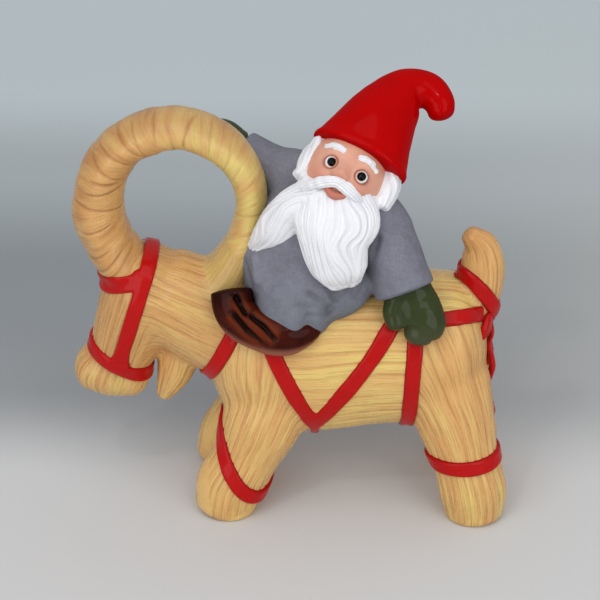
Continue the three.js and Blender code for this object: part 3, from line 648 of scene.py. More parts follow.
def horn_stations():
    """The hoop, from its thick root on the poll over the top to its thin end on the withers."""
    stations = []
    for i in range(HOOP_ROWS):
        share = i / (HOOP_ROWS - 1)
        angle = math.radians(HOOP_START - HOOP_SWEEP * share)
        root_flare = 8 * max(0, 1 - share / 0.25) ** 2
        tip = max(0, (share - 0.82) / 0.18)
        radius = HOOP_RADIUS + root_flare + 10 * tip ** 2
        taper = min(1, share / 0.85)
        stations.append([
            HORN[0] + radius * math.cos(angle), 0, HORN[1] + radius * math.sin(angle),
            (23 - 11 * taper) / 2 + 1.5 * max(0, 1 - share / 0.3) + 4.5 * tip ** 1.5,
            (30 - 9 * taper) / 2 + 4.5 * tip ** 1.5,
        ])
    return stations


# The thin end of the hoop is one with the neck: further up it lies inside the hoop.
horn_end = Loft([[x, y, z, a - less, b - less] for (x, y, z, a, b), less in zip(
    horn_stations()[11:], (1.6, 0.7, -0.1, -0.2))], domes=(2, 3))
FRONT_FOOT = (CHEST + 8, 20.5)
HIND_FOOT = (RUMP - 4, 23.5)
FRONT_LEG = offset((FRONT_FOOT[0], -FRONT_FOOT[1], 0), [
    (20.5, 9, AXIS - 11, 18, 15), (14.5, 4.5, AXIS - 27, 17, 14.5), (8, 2, BELLY - 7.5, 13.8, 13),
    (1.5, 0.5, 12, 14.55, 13.75), (-1, 0, 3, 13.05, 13.05),
])
HIND_LEG = offset((HIND_FOOT[0], -HIND_FOOT[1], 0), [
    (-13.5, 11, AXIS - 9, 19, 16), (-9, 6.5, AXIS - 25, 16.5, 14.5), (-4.5, 3, BELLY - 6.5, 13.9, 13),
    (-1, 0.5, 12, 14.15, 13.75), (0, 0, 3, 12.65, 12.65),
])


def leg(rows, sign, step=0.0):
    """A leg on the left (1) or the right (-1), whose foot stands forward by step."""
    return Loft([[x - step * i / 4, y * sign, *rest] for i, (x, y, *rest) in enumerate(rows)], domes=(5, 7))


LEGS = {
    "front_left": leg(FRONT_LEG, 1),
    "front_right": leg(FRONT_LEG, -1, 2),
    "hind_left": leg(HIND_LEG, 1),
    "hind_right": leg(HIND_LEG, -1, 1.5),
}

forms = [barrel, neck, skull, muzzle, tail, goatee, horn_end, *LEGS.values()]
skin_points, skin_faces = melt(forms, pitch=1.0, cols=110, size=0.57)
net = neighbours(skin_points, skin_faces)
joint = meeting([form.locate(skin_points)[2] for form in forms], 4.2) * smooth(0.5, 4, skin_points[:, 2])
joint *= np.where(skin_points[:, 0] > 30, smooth(BACK + 12, BACK + 4, skin_points[:, 2]), 1)
skin_points = relax(skin_points, net, 3, 0.5 * smooth(0.2, 1.2, skin_points[:, 2]))
skin_points = relax(skin_points, net, 92, 0.5 * joint)
skin_normals = normals(skin_points, skin_faces)
skin_quads = skin_faces[0]


def side_of(points, a, b):
    """Distance from the line a to b in the XZ plane, positive behind it as seen along it."""
    d = unit(np.array([b[0] - a[0], b[1] - a[1]]))
    return (points[:, 0] - a[0]) * d[1] - (points[:, 2] - a[1]) * d[0]


LINES = {
    "collar": ((CHEST - 5, AXIS - 18), (CHEST + 25, AXIS + 46)),
    "saddle_fore": ((VEE[0] + 6.5, BELLY - 3), (VEE[0] - 29, AXIS + 36)),
    "saddle_aft": ((VEE[0] - 9.1, BELLY - 3), (RUMP - 30, BACK + 3)),
    "girth": ((RUMP - 33.5, BELLY - 4), (RUMP - 30, BACK + 4)),
    "hip": ((RUMP - 34, BACK - 23), (RUMP + 6, BACK - 17)),
    "cheek": ((px - 13, pz - 42), (px + 4.5, pz + 16)),
    "brow": ((px - 24, pz - 7.6), (px - 1, pz + 1)),
    "nose": ((px - 28, pz - 32.2), (px + 4, pz - 50)),
}
# The hip strap climbs this much for each mm away from the middle of the goat.
HIP_CLIMB = 0.5


def behind(points, name):
    """How far a point lies towards the tail from a strap's line, in mm."""
    climb = HIP_CLIMB * np.abs(points[:, 1:2]) if name == "hip" else 0
    return side_of(points - climb * np.array([[0, 0, 1]]), *LINES[name])


def flow(points, line):
    """Angle round a bent line and length along it, for a bundle that follows the line."""
    return Loft([[*p, 20, 20] for p in line], domes=(20, 20)).locate(points, 140)[:2]


def strands(angle, v, seed, out, seam=0.0):
    """Broad grooves, swell and streak of a straw bundle, and its lines of flow for the paint."""
    u = out * wrap(angle - seam + math.pi) + seed
    return (furrows(u, v, 4.6, seed + 11), uneven(u / 2.4, v / 60, seed + 23),
            uneven(u / 5, v / 34, seed + 37), columns(u, v, seed * 1.37))


# Half the width over which one bundle turns into the next, and how light each bundle is
SOFT = 0.5
TONES = {"fore": 0.02, "hind": -0.02, "head": -0.28, "barrel": 0.34, "neck": -0.08, "tail": -0.2}


def straw_marks(points):
    """What the grooves and the paint of the straw need at each point of the skin."""
    x, z = points[:, 0], points[:, 2]
    left = points.copy()
    left[:, 1] = -np.abs(points[:, 1])
    x0, y0 = FRONT_FOOT
    fore_line = [[x0 + 27, -2, BACK + 6], [x0 + 24, -7, AXIS + 12], *(row[:3] for row in FRONT_LEG[:4]),
                 [x0 - 1, -y0, -6]]
    x1, y1 = HIND_FOOT
    hind_line = [[x1 - 33, -2, BACK + 8], [x1 - 26, -6, AXIS + 16], [x1 - 16, -y1 + 11, AXIS - 9],
                 *(row[:3] for row in HIND_LEG[1:4]), [x1, -y1, -6]]
    head_line = offset(POLL, [(2, 0, 20), (-1.5, 0, -9), (-6, 0, -22), (-11, 0, -38), (-15, 0, -50),
                              (-18, 0, -66)])
    flows = {
        "fore": strands(*flow(left, fore_line), 3, 18, math.pi / 2),
        "hind": strands(*flow(left, hind_line), 103, 18, math.pi / 2),
        "head": strands(*flow(points, head_line), 203, 17),
    }
    gap = {}
    for name, form, seed, out, seam in (
        ("barrel", barrel, 303, 31, 0), ("neck", neck, 403, 22, 0),
        ("tail", tail, 503, 8.5, math.pi / 2), ("goatee", goatee, 603, 7.5, math.pi / 2),
        ("horn", horn_end, 703, 9, math.pi / 2),
    ):
        angle, v, gap[name] = form.locate(points, 140)
        flows[name] = strands(angle, v, seed, out, seam)

    leg_gap = {name: form.locate(points)[2] for name, form in LEGS.items()}
    fore_gap = np.minimum(leg_gap["front_left"], leg_gap["front_right"])
    hind_gap = np.minimum(leg_gap["hind_left"], leg_gap["hind_right"])
    face_gap = np.minimum(np.minimum(skull.locate(points)[2], muzzle.locate(points)[2]), gap["neck"])
    tail_on = smooth(1.2, -1.2, gap["tail"] - np.minimum(gap["barrel"], hind_gap))
    goatee_on = smooth(1.2, -1.2, gap["goatee"] - face_gap) * smooth(pz - 36, pz - 42, z)
    horn_on = smooth(1.8, -1.8, gap["horn"] - np.minimum(gap["barrel"], gap["neck"])) * smooth(82, 88, z)
    cheek, collar, fore, girth, hip = (
        behind(points, name) for name in ("cheek", "collar", "saddle_fore", "girth", "hip"))
    under = smooth(BELLY + 30, BELLY + 10, z)
    jaw = smooth(16, 2, cheek) * smooth(pz - 12, pz - 26, z)
    past_collar = smooth(-SOFT, SOFT, collar)
    head = np.maximum(smooth(SOFT, -SOFT, cheek), jaw * smooth(SOFT, -SOFT, collar))
    fore_low = smooth(4, -4, fore_gap - gap["barrel"]) * under
    hind_low = smooth(4, -4, hind_gap - gap["barrel"]) * under
    weight = {
        "head": head,
        "neck": (1 - head) * (1 - past_collar),
        "fore": np.maximum(smooth(SOFT, -SOFT, fore) * past_collar, fore_low * past_collar),
        "hind": np.maximum(smooth(-SOFT, SOFT, girth) * smooth(-SOFT, SOFT, hip), hind_low),
    }
    weight["barrel"] = 1 - np.clip(sum(weight.values()), 0, 1)
    for name in weight:
        weight[name] = weight[name] * (1 - tail_on) * (1 - goatee_on) * (1 - horn_on)
    weight.update(tail=tail_on, goatee=goatee_on, horn=horn_on)
    total = sum(weight.values())
    out = [sum(weight[name] / total * flows[name][i] for name in flows) for i in range(3)]
    lines = np.stack([flows[name][3] for name in flows])
    chosen = np.stack([weight[name] for name in flows])
    rear = smooth(30, 40, x)
    tone = sum(TONES[name] * weight[name] for name in TONES)
    tone += 0.16 * smooth(24, 10, z)
    tone += 0.4 * smooth(px + 10, px, x) * smooth(pz - 38, pz - 44, z)
    tone -= 0.3 * smooth(BACK + 6, BACK + 18, z) * rear
    tone += 0.2 * horn_on
    calm = np.maximum(horn_on, smooth(BACK + 12, BACK + 18, z) * rear)
    fine = 1 - 0.4 * horn_on - 0.3 * weight["barrel"]
    dim = 0.2 * horn_on + 0.1 * weight["head"] + 0.06 * weight["neck"]
    return (*out, tone, lines, chosen, calm, fine, dim)


broad, swell, streak, tone, lines, chosen, calm, fine, dim = straw_marks(skin_points)
broad *= 1 - calm
sole = smooth(0.3, 2.0, skin_points[:, 2])
grooved = skin_points - skin_normals * ((0.36 * broad - 0.2 * swell) * sole)[:, None]
marks = {"groove": 0.62 * broad, "tone": np.clip(0.45 + 0.12 * streak + 0.6 * tone, 0, 1), "fine": fine,
         "dim": dim}
bundle = chosen[:, skin_quads].mean(axis=2).argmax(axis=0)
corner_lines = lines[bundle[:, None], skin_quads]

# The skin is cut where the collar and the girth strap cover the cut.
middles = skin_points[skin_quads].mean(axis=1)
past_collar = behind(middles, "collar") >= 0
past_girth = behind(middles, "girth") >= 0
for name, kept, nodes in (
    ("straw_head", ~past_collar, ["goat_head", "goat_muzzle", "goatee"]),
    ("straw_front", past_collar & ~past_girth, ["goat_body", "leg_front_left", "leg_front_right"]),
    ("straw_rear", past_collar & past_girth, ["leg_hind_left", "leg_hind_right", "goat_tail"]),
):
    used, index = np.unique(skin_quads[kept], return_inverse=True)
    ob = make_object(name, grooved[used], [index.reshape(-1, 4)])
    finish(ob, STRAW, nodes, {key: values[used] for key, values in marks.items()})
    mark(ob, "lines", corner_lines[kept], "FLOAT_VECTOR", "CORNER")

# Horn hoop
points, faces, n, theta, v = Loft(horn_stations(), domes=(3, 3)).skin(pitch=0.5, cols=190)
share = np.clip(v / v.max(), 0, 1)
thick = smooth(0.72, 0.3, share)
front = wrap(theta + math.pi / 2)
behind_hoop = wrap(theta - math.pi / 2)


def fold_lines(turn, places):
    """Thin creases across the hoop: turn is 0 on the face of the hoop, more towards its outer rim."""
    cut = np.zeros(len(v))
    for at, lean, bend, width, deep, inner, outer in places:
        path = at + lean * turn + bend * turn ** 2
        ends = smooth(inner - 0.25, inner + 0.3, turn) * smooth(outer + 0.25, outer - 0.3, turn)
        cut = np.maximum(cut, deep * np.exp(-((v - path) / width) ** 2) * ends)
    return cut


def lumps(length, turns, seed):
    """Smooth noise over the hoop: a lump's length along it, and how fast it changes round it."""
    return noise(columns(v / length, np.cos(theta) * turns, np.sin(theta) * turns), seed)


# Each crease: place along the hoop, lean, bend, width, depth, and both its ends round the hoop
rng = np.random.default_rng(11)
places = []
at = 5.0
while at < 150:
    root = 1 - smooth(60, 115, at)
    places.append((
        at, rng.uniform(-3.6, 0.8), rng.uniform(-0.4, 2.6) * (0.4 + 0.6 * root), rng.uniform(0.35, 0.7),
        rng.uniform(0.35, 0.95) * (0.25 + 0.75 * root), rng.uniform(-1.4, -0.1), rng.uniform(0.4, 1.6),
    ))
    at += rng.uniform(3.5, 11)
cut = fold_lines(front, places)
cut = np.maximum(cut, fold_lines(behind_hoop, [(place + 3, *rest) for place, *rest in places]))
lump = lumps(9, 1.1, 79) + 0.5 * lumps(4, 2, 81)
slim = smooth(-0.2, 0.8, np.cos(theta)) * (1.3 * smooth(0.5, 0.3, share) + 2.7 * smooth(0.19, 0.05, share))
depth = 1.25 * cut - (0.18 + 0.4 * thick) * lump + 1.3 * smooth(0.865, 0.93, share) + slim
slant = v + 3.5 * front - 1.6 * front ** 2
slant += 1.4 * lumps(16, 1.2, 61)
tone = 0.26 + 0.5 * smooth(0.3, 0.68, share) - 0.3 * smooth(0.8, 0.95, share) + 0.1 * lumps(8, 1, 83)
# Painted shade: the hoop turns more orange where it faces up, against the light from above
tone += 0.2 * uneven(slant / 3.0, front * 1.3, 87) - 0.16 * smooth(0.3, 0.9, n[:, 2])
inside = smooth(-1.1, -1.9, front) * smooth(-2.9, -2.2, front)
fine = (0.35 + 0.2 * thick) * (1 - 0.8 * inside)
# dim darkens the hoop a little all over and more at its thin end, and adds painted shade where it faces up
dim = 0.08 + 0.14 * smooth(0.1, 0.8, n[:, 2]) * smooth(0.8, 0.6, share) + 0.12 * smooth(0.8, 0.95, share)
horn_points = points - n * depth[:, None]
ob = piece("straw_horn", horn_points, faces, STRAW, ["horn_hoop"], {
    "dim": dim, "groove": np.clip(2.3 * cut, 0, 1), "tone": np.clip(tone, 0, 1), "fine": fine,
})
mark(ob, "lines", columns(slant, 12 * front, 7.7), "FLOAT_VECTOR")

# Ribbons: strips that follow the straw skin
tree = BVHTree.FromPolygons(skin_points.tolist(), skin_quads.tolist())
horn_tree = BVHTree.FromPolygons(horn_points.tolist(), faces[0].tolist())
SIDES = (("left", 1), ("right", -1))
WIDTH = 6.7
ACROSS = 17
# A ray starts this far outside the skin, and a ribbon's foot lies this far under it.
CLEAR = 9
SUNK = 0.9


def sections(points, quads, co, no):
    """Lines in which a plane cuts a skin, each an ordered row of points."""
    dist = (points - co) @ no
    dist = np.where(dist == 0, 1e-9, dist)
    sign = dist[quads] > 0
    hit = quads[sign.any(1) & ~sign.all(1)]
    links = {}
    place = {}
    for quad in hit:
        cut = []
        for k in range(4):
            a, b = int(quad[k]), int(quad[(k + 1) % 4])
            if (dist[a] > 0) != (dist[b] > 0):
                key = (min(a, b), max(a, b))
                w = dist[key[0]] / (dist[key[0]] - dist[key[1]])
                place[key] = points[key[0]] * (1 - w) + points[key[1]] * w
                cut.append(key)
        for one, two in zip(cut[::2], cut[1::2]):
            links.setdefault(one, []).append(two)
            links.setdefault(two, []).append(one)
    lines = []
    seen = set()
    for start in links:
        row = []
        after = None if start in seen else start
        while after is not None:
            seen.add(after)
            row.append(after)
            after = next((key for key in links[after] if key not in seen), None)
        if row:
            lines.append(np.array([place[key] for key in row]))
    return sorted(lines, key=len, reverse=True)


def loop_near(co, no, middle, points=skin_points, quads=skin_quads):
    """The cut line whose middle is nearest to a point."""
    lines = sections(points, quads, np.array(co, float), unit(np.array(no, float)))
    lines = [row for row in lines if len(row) > 60]
    return min(lines, key=lambda row: np.linalg.norm(row.mean(0) - middle))


def strap_loop(name, middle):
    """The line in which a strap's plane cuts the straw skin."""
    a, b = LINES[name]
    return loop_near([a[0], 0, a[1]], [b[1] - a[1], 0, a[0] - b[0]], np.array(middle))


def runs(row, keep):
    """The runs of a closed line for which keep is true, the longest first, and whether all is kept."""
    flags = keep(row)
    if flags.all():
        return [row], True
    start = int(np.argmin(flags))
    found, run = [], []
    for i in np.roll(np.arange(len(row)), -start):
        if flags[i]:
            run.append(i)
        elif run:
            found.append(run)
            run = []
    if run:
        found.append(run)
    return [row[run] for run in sorted(found, key=len, reverse=True)], False


def open_at(row, keep):
    """The longest run of a closed line, and whether it is the whole line."""
    found, shut = runs(row, keep)
    return found[0], shut


def resample(row, closed, pitch, rounds=14):
    """A line with even steps, and smoother."""
    if closed:
        row = np.vstack([row, row[:1]])
    length = np.concatenate([[0], np.cumsum(np.linalg.norm(np.diff(row, axis=0), axis=1))])
    count = max(8, int(length[-1] / pitch))
    at = np.linspace(0, length[-1], count + (1 if closed else 0))
    out = np.column_stack([np.interp(at, length, row[:, k]) for k in range(3)])
    if closed:
        out = out[:-1]
    for _ in range(rounds):
        if closed:
            out = 0.5 * out + 0.25 * (np.roll(out, 1, 0) + np.roll(out, -1, 0))
        else:
            out[1:-1] = 0.5 * out[1:-1] + 0.25 * (out[:-2] + out[2:])
    return out


def outermost(target, normal, grounds):
    """Where rays that come in along the normals first meet the grounds, evened out over the grid."""
    reach = np.zeros(target.shape[:2])
    for i, k in np.ndindex(reach.shape):
        way = Vector(normal[i])
        start = Vector(target[i, k]) + way * CLEAR
        hits = [ground.ray_cast(start, -way, 2 * CLEAR) for ground in grounds]
        reach[i, k] = CLEAR - min((hit[3] for hit in hits if hit[0] is not None), default=CLEAR)
    for _ in range(8):
        pad = np.pad(reach, 1, mode="edge")
        reach = (2 * reach + pad[2:, 1:-1] + pad[:-2, 1:-1] + pad[1:-1, 2:] + pad[1:-1, :-2]) / 6
    return target + normal[:, None] * reach[..., None]


def strip(row, closed, width, seed, lift=1.35, pitch=0.55, mitre=None, flare=0.0, grounds=(tree,)):
    """A relief ribbon along a line on the skin, wider at its ends by flare, cut off at a mitre plane."""
    line = resample(row, closed, pitch)
    count = len(line)
    tangent = (unit(np.roll(line, -1, 0) - np.roll(line, 1, 0)) if closed
               else unit(np.gradient(line, axis=0)))
    normal = np.array([list(tree.find_nearest(Vector(p))[1]) for p in line])
    for _ in range(10):
        ends = (normal[-1:], normal[:1]) if closed else (normal[:1], normal[-1:])
        padded = np.vstack([ends[0], normal, ends[1]])
        normal = unit(padded[:-2] + 2 * padded[1:-1] + padded[2:])
    side = unit(np.cross(normal, tangent))
    s = np.arange(count) * pitch
    around = s / (s[-1] + pitch) * 2 * math.pi
    reach = (s[-1] + pitch) / (2 * math.pi)
    where = (reach * np.cos(around), reach * np.sin(around)) if closed else (s, 0 * s)
    wave, ripple, drift = (uneven(where[0] / size, where[1] / size, seed + more)
                           for size, more in ((7, 0), (3.2, 3), (11, 7)))
    drift = 0.18 * drift
    half = width / 2 * (1 + 0.05 * wave + 0.025 * ripple)
    half += flare * np.exp(-np.maximum(np.minimum(s, s[-1] - s) - width / 2, 0) / 1.7)
    u = np.sin(np.linspace(-1, 1, ACROSS) * math.pi / 2)
    top = np.clip(1 - np.abs(u) ** 8, 0, 1) ** 0.5
    target = line[:, None] + side[:, None] * (u[None] * half[:, None] + drift[:, None])[..., None]
    if mitre is not None:
        place, facing = mitre
        over = np.maximum((target - place) @ facing, 0)
        target -= tangent[:, None] * (over / (tangent @ facing)[:, None])[..., None]
    if len(grounds) > 1:
        target = outermost(target, normal, grounds)
    rows = []
    for i in range(count):
        ring = []
        foot = []
        for k in range(ACROSS):
            hit, n = target[i, k], normal[i]
            if len(grounds) == 1:
                hit, n, _, _ = tree.find_nearest(Vector(target[i, k]))
            height = lift * top[k] * (1 + 0.04 * ripple[i]) - 0.55 * (1 - top[k])
            ring.append(np.array(hit) + unit(0.5 * np.array(n) + 0.5 * normal[i]) * height)
            foot.append(np.array(hit) - normal[i] * SUNK)
        rows.append(ring + [foot[ACROSS - 2], foot[ACROSS // 2], foot[1]])
    grid = np.array(rows)
    points = grid.reshape(-1, 3)
    # Painted shadow: the ribbon darkens towards both edges, where it meets the skin, and its sunk feet take
    # the edge colour
    shade = np.tile(np.concatenate([smooth(0.75, 1.0, np.abs(u)) * 0.6, [1, 1, 1]]), count)
    if not closed:
        points = np.vstack([points, grid[0].mean(0), grid[-1].mean(0)])
        shade = np.concatenate([shade, [1, 1]])
    return points, outward(points, shell(count, grid.shape[1], closed)), shade


def ribbon(name, strips, nodes):
    """One red piece of one or more strips."""
    points, faces = merge([made[:2] for made in strips])
    shade = np.concatenate([made[2] for made in strips])
    piece(name, points, faces, RIBBON, nodes, {"shade": shade})


def fused(name, strips, nodes, joints):
    """Strips that run into each other, with soft corners near the joints."""
    points, faces = voxel(*merge([made[:2] for made in strips]), 0.3)
    net = neighbours(points, faces)
    gap = np.min([np.linalg.norm(points - np.array(joint), axis=1) for joint in joints], axis=0)
    points = relax(points, net, 2)
    points = relax(points, net, 14, 0.5 * np.exp(-(gap / 6) ** 2))
    # Painted shadow: the nearer the ribbon lies to the straw, that is along its edges, the darker it is
    height = np.array([min(ground.find_nearest(Vector(p))[3] for ground in (tree, horn_tree))
                       for p in points])
    piece(name, points, faces, RIBBON, nodes, {"shade": 0.6 * smooth(0.8, 0.2, height)})


def clear(row):
    """Where a line runs over neither the goatee nor the end of the horn."""
    return (goatee.locate(row)[2] > 0.8) & (horn_end.locate(row)[2] > 0.8)


collar, shut = open_at(strap_loop("collar", (-24, 0, 80)), clear)
ribbon("ribbon_collar", [strip(collar, shut, WIDTH, 11)], ["collar"])
ribbon("ribbon_girth", [strip(strap_loop("girth", (50, 0, AXIS)), True, WIDTH, 13)], ["girth_strap"])
# The two bands of the V meet on the plane that halves the angle between them.
saddle = []
vee = np.array([VEE[0], 0, VEE[1]])
ways = [unit(np.array([end[0] - start[0], 0, end[1] - start[1]]))
        for start, end in (LINES["saddle_fore"], LINES["saddle_aft"])]
half_way = unit(sum(ways))
facing = np.array([half_way[2], 0, -half_way[0]])
for name, sign, middle, seed in (("saddle_fore", 1, 0, 15), ("saddle_aft", -1, 30, 17)):
    found, _ = runs(strap_loop(name, (middle, 0, AXIS)), lambda r: (
        (((r - vee) @ facing) * sign < 4.5) & (r[:, 2] < BACK - 7) & (r[:, 2] > BELLY)))
    for row in found[:2]:
        if row[0, 2] < row[-1, 2]:
            row = row[::-1]
        saddle.append(strip(row, False, WIDTH + 0.3, seed, mitre=(vee, facing * sign)))
tie = loop_near(vee, [1, 0, 0], np.array([VEE[0], 0, AXIS]))
tie, _ = open_at(tie, lambda r: r[:, 2] < VEE[1] - 2)
saddle.append(strip(tie, False, 3.6, 18, lift=1.2))
fused("ribbon_saddle", saddle, ["saddle_strap"], [[VEE[0], y, VEE[1]] for y in (-27, 27)])
(x0, z0), (x1, z1) = LINES["hip"]
for side, sign, seed in (("left", 1, 19), ("right", -1, 20)):
    loop = loop_near([x0, 0, z0], [z1 - z0, sign * (x0 - x1) * HIP_CLIMB, x0 - x1], np.array([40, 0, 80]))
    row, shut = open_at(loop, lambda r: (
        (r[:, 0] > RUMP - 31) & (r[:, 1] * sign < 1.5) & (tail.locate(r)[2] > 0.8)))
    ribbon("ribbon_hip_" + side, [strip(row, shut, WIDTH, seed)], ["hip_strap_" + side])
crupper = []
for sign, seed in ((1, 21), (-1, 23)):
    row = loop_near([RUMP - 14, 0, BACK + 2.5], [0.69, sign * 0.45, 0.56], np.array([70, 0, 85]))
    row, shut = open_at(row, lambda r: (r[:, 1] * sign < 1.5) & (behind(r, "hip") < 4))
    crupper.append(strip(row, shut, WIDTH, seed, lift=1.6))
ribbon("ribbon_crupper", crupper, ["crupper_strap"])
nose, shut = open_at(strap_loop("nose", (px - 12, 0, pz - 40)), clear)
cheek, open_cheek = open_at(strap_loop("cheek", (px - 4, 0, pz - 12)), lambda r: behind(r, "nose") < 0)
brow, open_brow = open_at(strap_loop("brow", (px - 10, 0, pz - 5)), lambda r: behind(r, "cheek") < 0)
fused("ribbon_bridle", [
    strip(nose, shut, WIDTH, 25), strip(cheek, open_cheek, WIDTH, 27, flare=1.6),
    strip(brow, open_brow, WIDTH, 29, flare=1.6, grounds=(tree, horn_tree)),
], ["noseband", "cheek_strap", "brow_band"], [cheek[0], cheek[-1], brow[0], brow[-1]])


def leg_band(end, side, co, no, seed):
    """A band round a leg, where a plane through co cuts it."""
    points, faces, _, _ = LEGS[end + "_" + side].surface(0.6, 150)
    row = loop_near(co, no, np.array(co), points, faces[0])
    ribbon("ribbon_" + end + "_" + side, [strip(row, True, WIDTH, seed)], ["band_" + end + "_" + side])


for side, sign in SIDES:
    x, y = FRONT_FOOT
    leg_band("front", side, [x + 6, -sign * y, BELLY - 7], [0.73, -0.41 * sign, 0.55], 31 + sign)
    x, y = HIND_FOOT
    low = BELLY - 4.8 + min(sign, 0) * 3
    leg_band("hind", side, [x - 4.5, -sign * (y - 2), low], [-0.1, 0, 1], 35 + sign)

# Bow under the tail
knot = np.array([RUMP + 0.2, 0, BACK - 18.5])


def ball(centre, half, rows=40, cols=60, axes=np.eye(3)):
    """An oval ball: points, faces turned outward, and the points on a ball of radius 1."""
    lat = np.arange(1, rows) / rows * math.pi
    lon = np.arange(cols) / cols * 2 * math.pi
    body = np.stack([np.sin(lat)[:, None] * np.cos(lon), np.sin(lat)[:, None] * np.sin(lon),
                     np.repeat(np.cos(lat)[:, None], cols, 1)], -1).reshape(-1, 3)
    local = np.vstack([body, [0, 0, 1], [0, 0, -1]])
    points = centre + (local * half) @ np.array(axes)
    return points, outward(points, shell(rows - 1, cols)), local


points, faces, local = ball(knot, np.array([3.3, 4.1, 3.7]))
pinch = 0.35 * np.abs(np.sin(local[:, 1] * 7))
# Painted shade: the knot is darker in its pinches
piece("ribbon_bow_knot", push(points, faces, -pinch), faces, RIBBON, ["bow_knot"],
      {"shade": 0.1 + 0.3 * pinch})
for side, sign in SIDES:
    loop, end = ([(x, y * sign, z, a, b) for x, y, z, a, b in rows] for rows in (
        ((-0.2, -2.6, 0.3, 1.5, 1.8), (-0.4, -5.6, 1.2, 1.9, 3.2), (-1.0, -8.2, -0.6, 2.1, 3.7),
         (-2.2, -10.6, -3.2, 1.9, 2.8), (-3.0, -11.4, -4.8, 1.3, 1.6)),
        ((0.4, -2, -2.4, 1.3, 1.7), (1.3, -3.2, -7, 1.1, 2.5), (0.2, -4.4, -12, 1.1, 2.3),
         (1.5, -5.4, -17, 1.2, 2.5), (1.9, -6.3, -21.5, 1.5, 2.9), (1.2, -6.6, -26, 1.2, 1.9)),
    ))
    points, faces, n, theta, v = Loft(offset(knot, loop), across=(0, 0, 1), domes=(1, 1.6)).skin(0.3, 60)
    dent = 0.5 * bump(np.abs(np.sin(theta)), 0, 0.45) * smooth(1, 4, v)
    # Painted shade: each loop is darker in its dent
    piece("ribbon_bow_loop_" + side, points - n * dent[:, None], faces, RIBBON, ["bow_loop_" + side],
          {"shade": dent * 0.5})
    points, faces, *_ = Loft(offset(knot, end), domes=(1, 2.2)).skin(0.3, 60)
    piece("ribbon_bow_end_" + side, points, faces, RIBBON, ["bow_end_" + side], {"shade": 0.1})

# Rider
coat = Loft(offset(SEAT, [
    (-6, 0, -16, 32, 16), (0.2, 0, -1, 31.5, 26.8), (4.2, -1, 9, 27, 28.2), (8, -3, 23, 21.5, 23.6),
    (15, -5, 36, 16.5, 18), (19, -7, 45, 11, 12),
]), across=(1, 0, 0), domes=(4, 5))
hip_fold = Loft(offset(SEAT, [
    (9, -17.5, -7, 8, 7), (18.5, -17.5, -1.5, 9, 8), (24, -15.5, 6, 8, 7),
]), domes=(4, 4))
wrist = (sx + 42.5, -21, sz + 3.5)
grip = (HORN[0] + 13.02, 19.0, HORN[1] + 18.6)
sleeve_left = Loft(offset(SEAT, [
    (22, -6, 36, 10, 10), (31.5, -9.5, 29, 11, 11), (37.5, -15, 17, 11.3, 11.3),
    (42.5, -21, 3.5, 12.25, 12.25),
]), domes=(4, 1.2))
sleeve_right = Loft([*offset(SEAT, [
    (12, 2, 43, 10.5, 10.5), (-2, 8, 39.5, 11, 11), (-11, 13, 40, 10.2, 10.2),
]), *offset(grip, [(14, 0, -6, 9.2, 9.2)])], domes=(4, 1.2))
forms = (coat, hip_fold, sleeve_left, sleeve_right)
points, faces = melt(forms, pitch=0.8, cols=120, size=0.55)
joint = meeting([form.locate(points)[2] for form in forms], 3.2)
net = neighbours(points, faces)
points = relax(points, net, 4)
points = relax(points, net, 90, 0.5 * joint)


def crease(points, path, width, depth):
    """Depth of a crease along a path, which is counted from the seat; it fades at its ends."""
    path = np.add(path, SEAT)
    steps = np.linalg.norm(np.diff(path, axis=0), axis=1)
    best = np.full(len(points), 1e9)
    run = np.zeros(len(points))
    for k, (a, b) in enumerate(zip(path[:-1], path[1:])):
        part = np.clip((points - a) @ (b - a) / steps[k] ** 2, 0, 1)
        gap = np.linalg.norm(points - (a + part[:, None] * (b - a)), axis=1)
        run = np.where(gap < best, (steps[:k].sum() + part * steps[k]) / steps.sum(), run)
        best = np.minimum(best, gap)
    return depth * np.exp(-(best / width) ** 2) * smooth(0, 0.15, run) * smooth(1, 0.8, run)


fold = 0.55 * noise(points / 13, 121) + 0.28 * noise(points / 6, 123)
hem = smooth(sz + 10, sz - 8, points[:, 2])
ripple = np.sin(np.arctan2(points[:, 1], points[:, 0] - sx - 3) * 9 + 3 * noise(points / 16, 125))
fold += 0.9 * hem * ripple
dip = np.zeros(len(points))
# Folds of the tunic: path, width and depth, where less than 0 is a ridge
for path, width, depth in (
    (((32, -22, 29.5), (26, -27, 10.5)), 1.6, 1.4),
    (((29, -20, 22.5), (20, -29, 6.5)), 2.2, -1.2),
    (((16, -24.5, -5), (6, -27.8, 3.6), (2, -28.5, 7)), 1.3, 1.3),
    (((15, -25.5, -5.5), (1.8, -31.1, -3.2)), 1.2, 1.2),
    (((14, -26, -3.5), (-2.6, -29.7, 1.4)), 1.4, 1.4),
    (((15.5, -25, -2), (12, -27, 8), (9, -27, 12)), 1.5, 1.0),
    (((-18.6, -14.4, 16.5), (-17.5, -18.3, 12.1), (-15.9, -23.8, 5.2)), 1.5, -1.3),
    (((-21, -12, 13), (-20, -17, 8), (-19, -22, 2)), 1.5, 1.1),
    (((36, -16, 20.5), (44, -22, 6.5)), 1.6, 0.9),
    (((39, -17, 24), (45, -17, 12)), 1.8, 0.7),
    (((-20, 6, 46.5), (-28, 12, 40.5)), 2.0, 1.0),
    (((-12, -1, 44), (-17, 2, 36)), 1.8, 0.9),
    (((22, -24, 0), (26, -21, 9)), 1.4, 0.9),
):
    deep = crease(points, path, width, depth)
    dip += np.maximum(deep, 0)
    fold -= deep
# shade: painted shade in the folds and the hollows of the cloth
piece("tunic_cloth", push(points, faces, fold), faces, TUNIC, ["tunic", "sleeve_left", "sleeve_right"],
      {"shade": np.clip(0.28 * dip + 0.1 * np.maximum(-fold, 0), 0, 0.5)})

